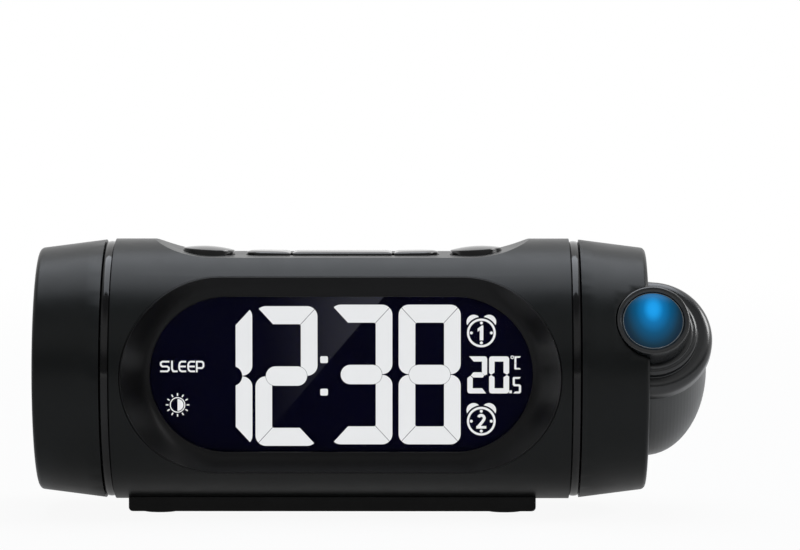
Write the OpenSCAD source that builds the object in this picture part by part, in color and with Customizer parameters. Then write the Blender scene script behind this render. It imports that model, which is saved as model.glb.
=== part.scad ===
// Projection alarm clock: a barrel-shaped case on a low base, with a turning projector head.
// X runs along the barrel, the front faces -Y, and Z is up from the table.

/* [Case] */
// Outer radius of the barrel
body_r = 38; // [37:0.5:42]
// Half length of the case between its end walls
case_half = 66; // [66:1:76]
// Wall thickness of the case
case_wall = 2.2; // [1.8:0.1:2.6]
// Height of the barrel's lowest line above the table
base_lift = 3.5; // [2.8:0.1:5]
// Distance behind the axis at which the rear cover begins
split_y = 23; // [22:0.5:25]

/* [Top recess] */
// Depth of the recess floor below the barrel's top line
recess_drop = 4.6; // [3.8:0.1:5.2]
// Half length of the flat floor
recess_flat_half = 37; // [35:0.5:38]
// Radius of the ramps at both ends of the floor
ramp_r = 36; // [32:1:44]

/* [Ends] */
// Width of a trim ring
trim_w = 2.7; // [2:0.1:4]
// Outer radius of a trim ring, below the barrel's radius by this much
trim_step = 0.7; // [0.4:0.1:1.5]
// Radial thickness of a trim ring
trim_t = 3; // [2:0.1:3.4]
// Gap between a trim ring and its end cap
seam_gap = 0.3; // [0.2:0.05:0.5]
// Drop of a cap's wide edge below the barrel's radius
cap_step = 0.3; // [0.2:0.1:1]
// Taper of a cap over its length, on the radius
cap_taper = 2.3; // [1.5:0.1:3]
// Length of a cap
cap_len = 19.3; // [19:0.1:24]
// Wall thickness of a cap
cap_wall = 2; // [1.6:0.1:2.4]
// Rounding of a cap's outer corner
cap_round = 1.5; // [1:0.1:2]

/* [Display] */
// Distance from the bezel's round ends to the case's end walls
bezel_end_gap = 2.8; // [2.5:0.1:3.6]
// Distance from the bezel's upper edge to the barrel's top line
bezel_top_gap = 9.6; // [9.4:0.1:10.5]
// Width of the bezel at its round ends
bezel_end_w = 8; // [7.6:0.1:8.8]
// Width of the bezel along its top and bottom
bezel_long_w = 6; // [5.8:0.1:6.6]
// Depth of the window behind the bezel's upper edge
bezel_dip = 2.4; // [2:0.1:3]
// Thickness of the bezel's skin
bezel_t = 1.2; // [1:0.1:1.5]
// Thickness of the clear window
window_t = 1.2; // [0.8:0.1:1.6]
// Thickness of the display glass
lcd_t = 2.8; // [2:0.1:3.2]
// Thickness of the light diffuser
diffuser_t = 2; // [1.5:0.1:2.5]
// Height of the backlight lamps
lamp_h = 1.1; // [0.8:0.1:1.4]
// Clear height above and below a digit, together
digit_margin = 4.4; // [3:0.2:8]
// Width of a digit
digit_w = 17.9; // [16:0.1:18.2]
// Width of an upright stroke
stroke_v = 4.8; // [4:0.1:5.2]
// Height of a level stroke
stroke_h = 5.2; // [4.4:0.1:5.8]
// Thickness of the lit segments
digit_t = 0.1; // [0.06:0.02:0.16]

/* [Keys] */
// Length of the opening that the three middle keys share
pill_len = 56; // [50:0.5:60]
// Depth of that opening, front to back
pill_depth = 12; // [10:0.5:13]
// Distance from the middle to each split between its keys
key_split = 14.8; // [10:0.2:18]
// Gap between neighbouring keys
key_gap = 0.8; // [0.5:0.1:1]
// Height of the snooze key above the recess floor
snooze_proud = 1.1; // [0.7:0.1:1.4]
// Height of a side key's outer end above the recess floor
side_proud = 1.3; // [0.8:0.1:1.6]
// Distance from the middle to each round key
round_key_x = 39; // [38:0.5:40]
// Radius of a round key
round_key_r = 7.4; // [6.5:0.1:7.6]
// Height of a round key's wall above the ramp
round_proud = 1.6; // [1.2:0.1:2]
// Height of the crown on a round key
round_crown = 0.8; // [0.4:0.1:1]
// Travel of every key
key_travel = 0.8; // [0.4:0.1:0.9]
// Clearance between a key and its opening
key_clear = 0.3; // [0.25:0.05:0.4]

/* [Base] */
// Distance from the base's left end to the case's end
base_left_inset = 3.8; // [3:0.2:6]
// Distance from the base's right end to the case's end
base_right_inset = 9.6; // [6:0.2:11]
// Front edge of the base, from the axis
base_front = 9; // [8.5:0.5:13]
// Rear edge of the base, from the axis
base_rear = 21.5; // [21:0.5:22.5]
// Height that the feet hold the base above the table
foot_proud = 0.4; // [0.3:0.1:0.8]
// Radius of a foot
foot_r = 5; // [4:0.5:5.5]
// Radius of the coin cell
cell_r = 10; // [8:0.5:10]
// Thickness of the coin cell
cell_t = 3.2; // [1.6:0.1:3.2]

/* [Projector] */
// Distance of the projector barrel's axis from the case's middle, past the cap's end face
barrel_out = 1; // [0.8:0.1:1.2]
// Elevation of the beam in the rest position, in degrees
beam_tilt = 27; // [15:1:40]
// Radius of the dome where it meets the cap
dome_r = 25.4; // [25.2:0.1:26]
// Reach of the dome past the cap's end face
dome_reach = 18; // [17.8:0.1:19]
// Wall thickness of the dome
dome_wall = 1.8; // [1.4:0.1:2]
// Radius of the barrel's neck
neck_r = 13.5; // [13.3:0.1:13.6]
// Radius of the barrel's collar
collar_r = 17.6; // [17:0.1:17.7]
// Height of the collar's back above the head's axis
collar_l = 19.5; // [19:0.1:20]
// Radius of the barrel's middle ring
mid_r = 13.2; // [12.8:0.1:13.3]
// Radius of the focus ring
focus_r = 10.5; // [10.4:0.1:10.8]
// Distance of the focus ring's front face from the head's axis
focus_l = 36.4; // [36:0.1:38]
// Radius of the projection lens
lens_r = 8.1; // [7.6:0.1:8.1]
// Gap between the head's thrust washer and the display board
washer_clear = 0.9; // [0.7:0.1:1.5]
// Running clearance on the radius of turning and sliding fits
run_clear = 0.05; // [0.03:0.01:0.08]

/* [Speaker] */
// Distance from the speaker's rim to the edge of its cap's end face
speaker_inset = 7.5; // [7.4:0.1:9]
// Depth of the speaker's frame
speaker_depth = 11; // [10:0.5:12]
// Radius of the magnet
magnet_r = 15; // [12:0.5:16]
// Height of the magnet
magnet_h = 9; // [7:0.5:10]

/* [Boards] */
// Thickness of a circuit board
board_t = 1.6; // [1.2:0.1:1.6]
// Thickness of the thread in a small screw, as a radius
screw_r = 1; // [0.9:0.05:1.1]
// Radius of a small screw's head
head_r = 2; // [1.8:0.1:2.1]
// Height of a small screw's head
head_h = 1.2; // [1:0.1:1.4]

/* [Hidden] */
$fn = 96;
big = 200;

// Places along and around the barrel
axis_z = body_r + base_lift;
cavity_r = body_r - case_wall;
cavity_x = case_half - case_wall;
recess_z = body_r - recess_drop;
ceiling_z = recess_z - case_wall;
parting_gap = 0.1;

// Ends
trim_r = body_r - trim_step;
cap_x0 = case_half + trim_w + seam_gap;
cap_x1 = cap_x0 + cap_len;
cap_r0 = body_r - cap_step;
cap_r1 = cap_r0 - cap_taper;

// Oval of the bezel
bezel_half_w = case_half - bezel_end_gap;
bezel_half_h = body_r - bezel_top_gap;
opening_half_w = bezel_half_w - bezel_end_w;
opening_half_h = bezel_half_h - bezel_long_w;

// Display stack, front to back
bezel_edge_y = -sqrt(body_r * body_r - bezel_half_h * bezel_half_h);
window_y = bezel_edge_y + bezel_dip;
window_y0 = window_y + bezel_t;
lcd_y0 = window_y0 + window_t + 0.2;
lcd_y1 = lcd_y0 + lcd_t;
diffuser_y1 = lcd_y1 + diffuser_t;
board_y0 = diffuser_y1 + lamp_h;
board_y1 = board_y0 + board_t;
lcd_half_w = opening_half_w + 0.8;
lcd_half_h = opening_half_h + 0.6;
lcd_clear = 0.2;
frame_rim = 2.3;
frame_half_w = lcd_half_w + frame_rim;
frame_half_h = lcd_half_h + frame_rim;
bezel_fit = 0.1;
bezel_lip = 3;
bezel_seat = window_y0 - 1;
bezel_inner_w = 1.6;
bezel_steps = 24;

// Digits, in the display's plane; z is from the barrel's axis
digit_h = 2 * opening_half_h - digit_margin;
digit_x = [-43.6, -24.8, -3.2, 16.5];
digit_lit = ["bc", "abged", "abgcd", "abcdefg"];
digit_z = [-0.65, -0.65, -0.2, -0.2];
digit_corner = 3;
digit_inner_corner = 0.6;
mitre = stroke_h / stroke_v;
hair = 0.1;
free_gap = 0.3;
pill_h = 5.6;
pill_w = 11.9;
colon_x = -5;
colon_w = 2.2;
colon_top = 4.1;
colon_low = -5.3;

// Screw posts and bosses
post_r = 2.4;
display_post_x = cavity_x - 3.3;
display_post_z = frame_half_h + 2.2;
display_board_half_w = cavity_x - 1.6;
display_board_half_h = display_post_z + 2;
boss_r = 3;
rear_boss_x = cavity_x - boss_r + 0.3;
rear_head_cover = 1.7;
rear_boss_len = 15;
rear_boss_floor = 3;
rear_screw_r = 1.2;
rear_head_r = 2.4;
rear_head_seat = split_y + 2;
rear_boss_y = rear_head_seat + rear_head_cover;
rear_boss_z = sqrt(body_r * body_r - rear_boss_y * rear_boss_y);
thread_clear = 0.04;
thread_len = 5;
hole_spare = 1;

// Keys, switches and their board; z is from the barrel's axis
flange_gap = 0.1;
flange_t = 1.2;
flange_w = 1.2;
flange_top = ceiling_z - flange_gap;
nub_r = 1.5;
nub_len = 1.2;
nub_z = flange_top - flange_t - nub_len;
switch_top = nub_z - key_travel - 0.25;
switch_h = 3.5;
switch_w = 6;
key_board_top = switch_top - switch_h;
key_board_half_x = case_half - 13;
key_board_half_y = 8.5;
key_post_x = key_board_half_x - 3;
key_post_y = key_board_half_y - 2.7;
pill_half = pill_len / 2;
pill_r = pill_depth / 2;
side_key_x = (key_split + pill_half) / 2;
round_lean = asin((round_key_x - recess_flat_half) / ramp_r);
round_rise = ramp_r - ramp_r * cos(round_lean);
round_z = recess_z + round_rise;
round_nub_low = switch_top + key_travel + 0.2 + nub_r * sin(round_lean);
round_nub_end = (round_z - round_nub_low) / cos(round_lean);
round_nub_x = round_key_x + sin(round_lean) * round_nub_end;

// Base, feet and battery bay
base_left = case_half - base_left_inset;
base_right = case_half - base_right_inset;
base_clear = 0.05;
base_round = 1.2;
base_block_top = base_lift + body_r - sqrt(body_r * body_r - base_rear * base_rear) + 0.4;
foot_sink = 0.8;
foot_inset_x = foot_r + 4;
foot_inset_y = foot_r + 0.8;
well_y = 6.5;
well_r = cell_r + 2.3;
lug_w = 0.8;
lug_angle = 24;
lug_turn = 40;
cover_t = 1.8;
cover_fit = 0.1;
groove_z = foot_proud + 0.9;
groove_h = 1;
well_wall = 1.8;
well_out_r = well_r + well_wall;
well_x = base_right - foot_inset_x - foot_r - well_out_r;
cell_z = foot_proud + cover_t + 0.1;
well_ceiling = cell_z + cell_t + 2.3;
screw_to_foot = 10;
base_screw_x = [foot_inset_x + screw_to_foot - base_left, -screw_to_foot,
    base_right - foot_inset_x + 3];
base_screw_y = 5;
base_head_r = 2.6;
base_head_h = 0.9;
base_seat_z = foot_proud + base_head_h + 0.2;
base_screw_top = 11;

// Rear panel
pocket_y = body_r - 3.4;
pocket_half_w = 44;
pocket_z0 = -18;
pocket_z1 = -6;
port_z = (pocket_z0 + pocket_z1) / 2;
main_board_y1 = split_y - 1.4;
main_board_y0 = main_board_y1 - board_t;
main_board_half_w = case_half - 12;
main_board_z0 = -21;
main_board_z1 = 20;
main_post_x = main_board_half_w - 4;
main_post_z = main_board_z1 - 3.5;
socket_h = 5;
socket_inset = 14;
speaker_socket_x = socket_inset - main_board_half_w;
speaker_socket_z = 5;
head_socket_x = main_board_half_w - socket_inset;
jack_x = -20;
jack_bore_r = 2.8;
jack_nose_r = 3.9;
jack_pin_r = 1.05;
jack_hole_clear = 0.2;
jack_floor = 3.3;
usb_x = 10;
usb_w = 13.2;
usb_h = 5.9;
usb_skin = 0.4;
aerial_x = 34;
aerial_hole_r = 2.6;
vent_count = 9;
vent_pitch = 7;
vent_w = 2.2;
vent_z0 = 8;
vent_z1 = 22;

// Projector head
barrel_x = cap_x1 + barrel_out;
collar_h = 2.6;
collar_round = 2.9;
mid_l = collar_l + 5.5;
mid_end = mid_l + 3.6;
ring_gap = 0.3;
focus_l0 = mid_end + ring_gap;
neck_l0 = -3;
bore_r = 11.2;
bore_step_l = mid_l - 1;
focus_in_r = lens_r + 0.8;
skirt_r = focus_in_r + 0.65;
front_bore_r = skirt_r + run_clear;
skirt_l0 = 22;
lens_cell_r = focus_in_r - run_clear;
lens_l1 = focus_l - 1.2;
lens_l0 = lens_l1 - 11.8;
slide_l = 10;
condenser_l = 3;
sink_l = 3;
back_l = neck_l0 - board_t - sink_l;
barrel_clear = 0.25;
disc_t = 2;
bush_t = 2.4;
washer_lap = 1;
spindle_r = -board_y1 - washer_clear - washer_lap - bush_t;
bush_r = spindle_r + bush_t;
bush_in_r = spindle_r + run_clear;
bush_flange_r = bush_r + 2.6;
bush_x0 = cavity_x - 1.3;
bush_x1 = case_half + 1.5;
spindle_x0 = bush_x0 - 5.5;
spindle_bore = spindle_r - 2.6;
clip_groove_r = spindle_r - 0.8;
clip_t = 1;
washer_gap = 0.1;
clip_x1 = bush_x0 - 1.1;
stop_r0 = 22;
stop_r1 = 26;
stop_width = 10;
stop_h = 2.2;
head_down = 25;
head_up = 155;
stop_spare = 1;
stop_gap = 0.4;
cable_r = 1.5;
cable_end_x = spindle_x0 - 5;

// Speaker, in the left cap, measured from its end face
speaker_face = cap_x1 - cap_wall;
gasket_t = 0.4;
rim_t = 1.5;
speaker_r = cap_r1 - speaker_inset;
end_hole_r = speaker_r - 1.5;
cone_r = speaker_r - 4;
coil_r = 7;
seat_wall = 1.4;
cap_screw_ring = body_r - 7;
cap_boss_r = 2.6;
cap_screw_angles = [90, 180, 270];
grille_rings = 5;
grille_pitch = 4.6;
grille_hole_r = 1.1;

// ---- Placing helpers ----

// Children drawn along +Z are turned to run along the barrel from x
module on_axis(x) {
    translate([x, 0, axis_z]) rotate([0, 90, 0]) children();
}

// Solid disc on the barrel's axis, from x0 to x1
module axial_disc(x0, x1, r) {
    on_axis(x0) cylinder(h = x1 - x0, r = r);
}

// Ring on the barrel's axis, from x0 to x1
module axial_ring(x0, x1, r_out, r_in) {
    difference() {
        axial_disc(x0, x1, r_out);
        axial_disc(x0 - 1, x1 + 1, r_in);
    }
}

// Outline of points [radius, x], turned about the barrel's axis
module axial_turned(points) {
    translate([0, 0, axis_z]) rotate([0, 90, 0]) rotate_extrude() polygon(points);
}

// Outline in x and height above the axis, made solid from y0 back to y1
module upright_plate(y0, y1) {
    translate([0, y1, axis_z]) rotate([90, 0, 0]) linear_extrude(y1 - y0) children();
}

// Round bar that runs along +Y from y0 to y1
module bar_y(x, z, y0, y1, r) {
    translate([x, y0, axis_z + z]) rotate([-90, 0, 0]) cylinder(h = y1 - y0, r = r);
}

// Box given by its corners, with z counted from the axis
module block(x0, x1, y0, y1, z0, z1) {
    translate([x0, y0, axis_z + z0]) cube([x1 - x0, y1 - y0, z1 - z0]);
}

// Children drawn along +Z are turned to run along the projector's beam
module on_beam() {
    translate([barrel_x, 0, axis_z]) rotate([90 - beam_tilt, 0, 0]) children();
}

// Outline of points [radius, distance], turned about the beam
module beam_turned(points) {
    on_beam() rotate_extrude() polygon(points);
}

// Half-round-ended oval, given by its half width and half height
module oval(half_w, half_h) {
    square([2 * (half_w - half_h), 2 * half_h], center = true);
    for (side = [-1, 1])
        translate([side * (half_w - half_h), 0]) circle(r = half_h);
}

// Rectangle with round corners
module soft_rectangle(w, h, r) {
    square([w - 2 * r, h], center = true);
    square([w, h - 2 * r], center = true);
    for (x = [-1, 1], y = [-1, 1])
        translate([x * (w / 2 - r), y * (h / 2 - r)]) circle(r = r);
}

// Wedge of a ring between two angles, r0 to r1, as a flat outline
module ring_wedge(r0, r1, from, to) {
    reach = r1 * 2;
    steps = 6;
    intersection() {
        difference() {
            circle(r = r1);
            circle(r = r0);
        }
        polygon(concat([[0, 0]],
            [for (i = [0:steps]) reach * [cos(from + (to - from) * i / steps),
                                          sin(from + (to - from) * i / steps)]]));
    }
}

// Points of an arc
function arc(cx, cy, r, from, to, steps) =
    [for (i = [0:steps]) [cx + r * cos(from + (to - from) * i / steps),
                          cy + r * sin(from + (to - from) * i / steps)]];

// ---- Case ----

// Outline of the recess along the top, seen from the front
module recess_outline() {
    translate([-recess_flat_half, recess_z]) square([2 * recess_flat_half, big]);
    for (side = [-1, 1])
        translate([side * recess_flat_half, recess_z + ramp_r]) circle(r = ramp_r);
}

// Space of the flat pocket that the rear sockets open into
module port_pocket(grow) {
    block(-pocket_half_w - grow, pocket_half_w + grow, pocket_y - grow, big,
        pocket_z0 - grow, pocket_z1 + grow);
}

// Closed barrel with its recess and pocket, walls all round
module whole_shell() {
    difference() {
        axial_disc(-case_half, case_half, body_r);
        upright_plate(-big, big) recess_outline();
        port_pocket(0);
        difference() {
            axial_disc(-cavity_x, cavity_x, cavity_r);
            upright_plate(-big, big) translate([0, -case_wall]) recess_outline();
            port_pocket(case_wall);
        }
    }
}

module front_half() {
    translate([-big, split_y - 2 * big, -big]) cube(2 * big);
}

// A round key's own frame: +Z is the key's travel, away from the case
module on_ramp(side) {
    translate([side * round_key_x, 0, axis_z + round_z]) rotate([0, -side * round_lean, 0])
        children();
}

module key_openings() {
    translate([0, 0, axis_z + ceiling_z - 1]) linear_extrude(body_r)
        oval(pill_half + key_clear, pill_r + key_clear);
}

// Bayonet lugs as seen from above, turned by an angle
module lug_wedges(r_out, spread, turn) {
    for (a = [0, 180])
        rotate(a + turn) ring_wedge(well_r - 2, r_out, -spread / 2, spread / 2);
}

module battery_well() {
    difference() {
        translate([well_x, well_y, foot_proud])
            cylinder(h = well_ceiling + well_wall - foot_proud, r = well_out_r);
        translate([well_x, well_y, foot_proud - 1])
            cylinder(h = well_ceiling - foot_proud + 1, r = well_r);
        translate([well_x, well_y, groove_z])
            cylinder(h = groove_h, r = well_r + lug_w + cover_fit);
        translate([well_x, well_y, foot_proud - 1]) linear_extrude(groove_z - foot_proud + 1.5)
            lug_wedges(well_r + lug_w + cover_fit / 2, lug_angle + 3, lug_turn);
    }
}

// Fixed rib that the head's stop lug meets at both ends of its travel
module stop_rib() {
    half_lug = stop_width / 2;
    on_axis(case_half - 0.5) linear_extrude(stop_h + 0.5)
        ring_wedge(stop_r0, stop_r1, 90 + head_down + half_lug + stop_spare,
            450 - head_up - half_lug - stop_spare);
}

module main_case() {
    color([0.10, 0.10, 0.11]) difference() {
        union() {
            intersection() {
                union() {
                    whole_shell();
                    for (x = [-1, 1], z = [-1, 1]) {
                        bar_y(x * display_post_x, z * display_post_z, -cavity_r, board_y0, post_r);
                        bar_y(x * rear_boss_x, z * rear_boss_z, split_y - rear_boss_len,
                            split_y + 1, boss_r);
                    }
                    for (x = [-1, 1], y = [-1, 1])
                        translate([x * key_post_x, y * key_post_y, axis_z + key_board_top])
                            cylinder(h = body_r - key_board_top, r = post_r);
                    for (x = base_screw_x)
                        translate([x, base_screw_y, base_lift])
                            cylinder(h = base_screw_top - base_lift, r = boss_r);
                }
                front_half();
                axial_disc(-case_half, case_half, body_r - case_wall / 2);
            }
            intersection() {
                whole_shell();
                front_half();
            }
            battery_well();
            stop_rib();
        }
        upright_plate(-big, bezel_seat) oval(bezel_half_w, bezel_half_h);
        key_openings();
        for (side = [-1, 1])
            on_ramp(side) translate([0, 0, -5 * case_wall])
                cylinder(h = 10 * case_wall, r = round_key_r + key_clear);
        axial_disc(-case_half - 1, -cavity_x + 1, end_hole_r);
        axial_disc(cavity_x - 1, case_half + 1, bush_r);
        for (x = [-1, 1], z = [-1, 1]) {
            bar_y(x * display_post_x, z * display_post_z, board_y0 - thread_len - hole_spare,
                board_y0 + 1, screw_r + thread_clear);
            bar_y(x * rear_boss_x, z * rear_boss_z, split_y - rear_boss_len + rear_boss_floor,
                split_y + 1, rear_screw_r + thread_clear);
        }
        for (x = [-1, 1], y = [-1, 1])
            translate([x * key_post_x, y * key_post_y, axis_z + key_board_top - 1])
                cylinder(h = thread_len + hole_spare + 1, r = screw_r + thread_clear);
        for (x = base_screw_x)
            translate([x, base_screw_y, 0])
                cylinder(h = base_screw_top - hole_spare, r = rear_screw_r + thread_clear);
        for (a = cap_screw_angles)
            rotate_about_axis(a) translate([-case_half - 1, 0, cap_screw_ring])
                rotate([0, 90, 0]) cylinder(h = 2 * case_wall + 1, r = rear_screw_r + 0.2);
        translate([well_x, well_y, foot_proud - 1])
            cylinder(h = well_ceiling - foot_proud + 1, r = well_r);
        upright_plate(-big, big) recess_outline();
    }
}

// Children drawn with z counted from the axis are turned about it
module rotate_about_axis(a) {
    translate([0, 0, axis_z]) rotate([a - 90, 0, 0]) children();
}

module rear_cover() {
    color([0.11, 0.11, 0.12]) difference() {
        union() {
            difference() {
                whole_shell();
                translate([-big, split_y + parting_gap - 2 * big, -big]) cube(2 * big);
            }
            intersection() {
                union() {
                    for (x = [-1, 1], z = [-1, 1]) {
                        bar_y(x * rear_boss_x, z * rear_boss_z, split_y + parting_gap,
                            body_r, boss_r + 0.6);
                        bar_y(x * main_post_x, z * main_post_z, main_board_y1, body_r, post_r);
                    }
                }
                axial_disc(-case_half, case_half, body_r - 0.2);
                difference() {
                    axial_disc(-case_half, case_half, body_r);
                    port_pocket(0);
                }
            }
        }
        for (x = [-1, 1], z = [-1, 1]) {
            bar_y(x * rear_boss_x, z * rear_boss_z, split_y - 1, body_r + 1,
                rear_screw_r + 0.1);
            bar_y(x * rear_boss_x, z * rear_boss_z, rear_head_seat, body_r + 1,
                rear_head_r + 0.2);
            bar_y(x * main_post_x, z * main_post_z, main_board_y1 - 1,
                main_board_y1 + thread_len + hole_spare, screw_r + thread_clear);
        }
        for (i = [0:vent_count - 1])
            translate([(i - (vent_count - 1) / 2) * vent_pitch, 0, 0])
                upright_plate(split_y + 2, big) {
                    translate([0, (vent_z0 + vent_z1) / 2])
                        soft_rectangle(vent_w, vent_z1 - vent_z0, vent_w / 2 - 0.05);
                }
        bar_y(jack_x, port_z, pocket_y - 2 * case_wall, pocket_y + 1,
            jack_nose_r + jack_hole_clear);
        bar_y(aerial_x, port_z, pocket_y - 2 * case_wall, pocket_y + 1, aerial_hole_r);
        block(usb_x - usb_w / 2 - 0.2, usb_x + usb_w / 2 + 0.2, pocket_y - 2 * case_wall,
            pocket_y + 1, port_z - usb_h / 2 - 0.2, port_z + usb_h / 2 + 0.2);
    }
}

module rear_screws() {
    color("dimgray")
        for (x = [-1, 1], z = [-1, 1])
            difference() {
                union() {
                    bar_y(x * rear_boss_x, z * rear_boss_z,
                        split_y - rear_boss_len + rear_boss_floor + hole_spare,
                        rear_head_seat, rear_screw_r);
                    bar_y(x * rear_boss_x, z * rear_boss_z, rear_head_seat,
                        rear_head_seat + head_h, rear_head_r);
                }
                cross_slot(x * rear_boss_x, rear_head_seat + head_h, z * rear_boss_z);
            }
}

// Cross recess in a screw head that faces +Y
module cross_slot(x, y, z) {
    block(x - 1.3, x + 1.3, y - 0.6, y + 1, z - 0.25, z + 0.25);
    block(x - 0.25, x + 0.25, y - 0.6, y + 1, z - 1.3, z + 1.3);
}

// ---- Base, feet and battery ----

module base_stand() {
    base_h = base_block_top - foot_proud;
    r = base_round;
    color([0.08, 0.08, 0.08]) difference() {
        translate([0, base_rear, foot_proud]) rotate([90, 0, 0]) linear_extrude(base_rear + base_front)
            polygon(concat(arc(base_right - r, r, r, -90, 0, 6),
                [[base_right, base_h], [-base_left, base_h]],
                arc(-base_left + r, r, r, 180, 270, 6)));
        axial_disc(-case_half, case_half, body_r + base_clear);
        translate([well_x, well_y, 0]) cylinder(h = big, r = well_out_r + 0.2);
        for (x = base_screw_x)
            translate([x, base_screw_y, 0]) {
                cylinder(h = base_seat_z, r = base_head_r + 0.2);
                cylinder(h = big, r = rear_screw_r + 0.1);
            }
        feet(foot_clear = 0.1);
    }
}

// A foot near each corner of the base, and one under the snooze key
module feet(foot_clear) {
    for (x = [-base_left + foot_inset_x, base_right - foot_inset_x],
         y = [-base_front + foot_inset_y, base_rear - foot_inset_y])
        foot(x, y, foot_r + foot_clear);
    foot(0, 0, foot_r + foot_clear);
}

module foot(x, y, r) {
    translate([x, y, 0]) cylinder(h = foot_proud + foot_sink, r = r);
}

module rubber_feet() {
    color([0.16, 0.16, 0.16]) feet(foot_clear = 0);
}

module base_screws() {
    color("gray")
        for (x = base_screw_x)
            translate([x, base_screw_y, 0]) difference() {
                union() {
                    translate([0, 0, base_seat_z - base_head_h])
                        cylinder(h = base_head_h, r = base_head_r);
                    translate([0, 0, base_seat_z - base_head_h])
                        cylinder(h = base_screw_top - 2 * hole_spare - base_seat_z,
                            r = rear_screw_r);
                }
                translate([-1.3, -0.25, 0]) cube([2.6, 0.5, base_seat_z - 0.4]);
                translate([-0.25, -1.3, 0]) cube([0.5, 2.6, base_seat_z - 0.4]);
            }
}

module battery_cover() {
    color([0.12, 0.12, 0.12]) translate([well_x, well_y, 0]) difference() {
        union() {
            translate([0, 0, foot_proud]) cylinder(h = cover_t, r = well_r - cover_fit);
            translate([0, 0, groove_z + 0.1]) linear_extrude(groove_h - 0.2)
                lug_wedges(well_r + lug_w, lug_angle, 0);
        }
        translate([-6, -0.8, 0]) cube([12, 1.6, foot_proud + 0.8]);
    }
}

module coin_cell() {
    color("silver") translate([well_x, well_y, cell_z]) {
        cylinder(h = cell_t * 0.7, r = cell_r);
        cylinder(h = cell_t, r = cell_r - 1.2);
    }
}

module cell_contacts() {
    leaf_t = 0.3;
    leaf_z = cell_z + cell_t;
    color("gold") translate([well_x, well_y, 0]) {
        translate([-7, -2, leaf_z]) cube([14, 4, leaf_t]);
        translate([0, 0, leaf_z]) cylinder(h = well_ceiling - leaf_z, r = 1.5);
        translate([0, 0, cell_z + 0.4]) linear_extrude(1.4)
            ring_wedge(cell_r + 0.02, well_r, 80, 100);
    }
}

// ---- Display ----

// Rings of the bezel: at each step round the oval, the skin's six corners
function oval_point(half_w, half_h, i, n) =
    let (t = 360 * i / n, side = cos(t) >= 0 ? 1 : -1)
    [side * (half_w - half_h) + half_h * cos(t), half_h * sin(t)];
function on_barrel(p) = -sqrt(body_r * body_r - p[1] * p[1]);
function at_depth(p, y) = [p[0], y, axis_z + p[1]];

module bezel() {
    n = 4 * bezel_steps;
    out_w = bezel_half_w - bezel_fit;
    out_h = bezel_half_h - bezel_fit;
    outer = [for (i = [0:n - 1]) oval_point(out_w, out_h, i, n)];
    inner = [for (i = [0:n - 1]) oval_point(opening_half_w, opening_half_h, i, n)];
    rim = [for (i = [0:n - 1]) oval_point(opening_half_w + bezel_inner_w,
        opening_half_h + bezel_inner_w, i, n)];
    seat_rim = [for (i = [0:n - 1]) oval_point(opening_half_w + bezel_inner_w + 1,
        opening_half_h + bezel_inner_w + 1, i, n)];
    points = concat(
        [for (p = outer) at_depth(p, on_barrel(p))],
        [for (p = inner) at_depth(p, window_y)],
        [for (p = inner) at_depth(p, window_y0)],
        [for (p = rim) at_depth(p, window_y0)],
        [for (p = seat_rim) at_depth(p, bezel_seat)],
        [for (p = outer) at_depth(p, min(on_barrel(p) + bezel_lip, bezel_seat))]);
    rings = 6;
    faces = [for (k = [0:rings - 1], i = [0:n - 1])
        let (j = (i + 1) % n, m = (k + 1) % rings)
        each [[k * n + i, k * n + j, m * n + j], [k * n + i, m * n + j, m * n + i]]];
    color([0.05, 0.05, 0.06]) polyhedron(points, faces);
}

module display_window() {
    color([0.1, 0.1, 0.14, 0.5]) upright_plate(window_y0, window_y0 + window_t)
        oval(opening_half_w + bezel_inner_w - 0.1, opening_half_h + bezel_inner_w - 0.1);
}

module lcd_panel() {
    color([0.02, 0.02, 0.07]) upright_plate(lcd_y0, lcd_y1)
        square([2 * lcd_half_w, 2 * lcd_half_h], center = true);
}

// One half of a digit's outline, upper (side 1) or lower (side -1), with its middle at the origin
module digit_half(side) {
    half = digit_h / 2 - hair;
    translate([0, side * (hair + half / 2)]) difference() {
        soft_rectangle(digit_w, half, digit_corner);
        translate([0, -side * stroke_h / 2 - side * 0.5])
            soft_rectangle(digit_w - 2 * stroke_v, half - stroke_h + 1, digit_inner_corner);
    }
}

// Gap that a segment leaves at its mitre towards a neighbour
function gap_to(name, lit) = len(search(name, lit)) > 0 ? hair : free_gap;

// Strip of the digit above its mitre lines, which run from the outer to the inner corners
module end_region(side, left_gap, right_gap) {
    half_w = digit_w / 2;
    top = digit_h / 2;
    polygon([[-half_w + left_gap, side * top], [half_w - right_gap, side * top],
        [0.01, side * (top - (half_w - right_gap - 0.01) * mitre)],
        [-0.01, side * (top - (half_w - left_gap - 0.01) * mitre)]]);
}

// Strip of the digit beside its mitre lines
module side_region(side_x, side, gap) {
    half_w = digit_w / 2;
    top = digit_h / 2;
    polygon([[side_x * half_w, 0], [side_x * half_w, side * (top - gap)],
        [side_x * 0.01, side * (top - (half_w - 0.01) * mitre - gap)], [side_x * 0.01, 0]]);
}

module middle_pill(grow) {
    oval(pill_w / 2 + grow, pill_h / 2 + grow);
}

// One of a digit's seven segments, a to g, in a digit with these segments lit
module segment(name, lit) {
    side = (name == "d" || name == "c" || name == "e") ? -1 : 1;
    side_x = (name == "b" || name == "c") ? 1 : -1;
    if (name == "g") middle_pill(0);
    else difference() {
        intersection() {
            digit_half(side);
            if (name == "a") end_region(side, gap_to("f", lit), gap_to("b", lit));
            else if (name == "d") end_region(side, gap_to("e", lit), gap_to("c", lit));
            else side_region(side_x, side, gap_to(side > 0 ? "a" : "d", lit));
        }
        middle_pill(hair);
    }
}

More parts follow.
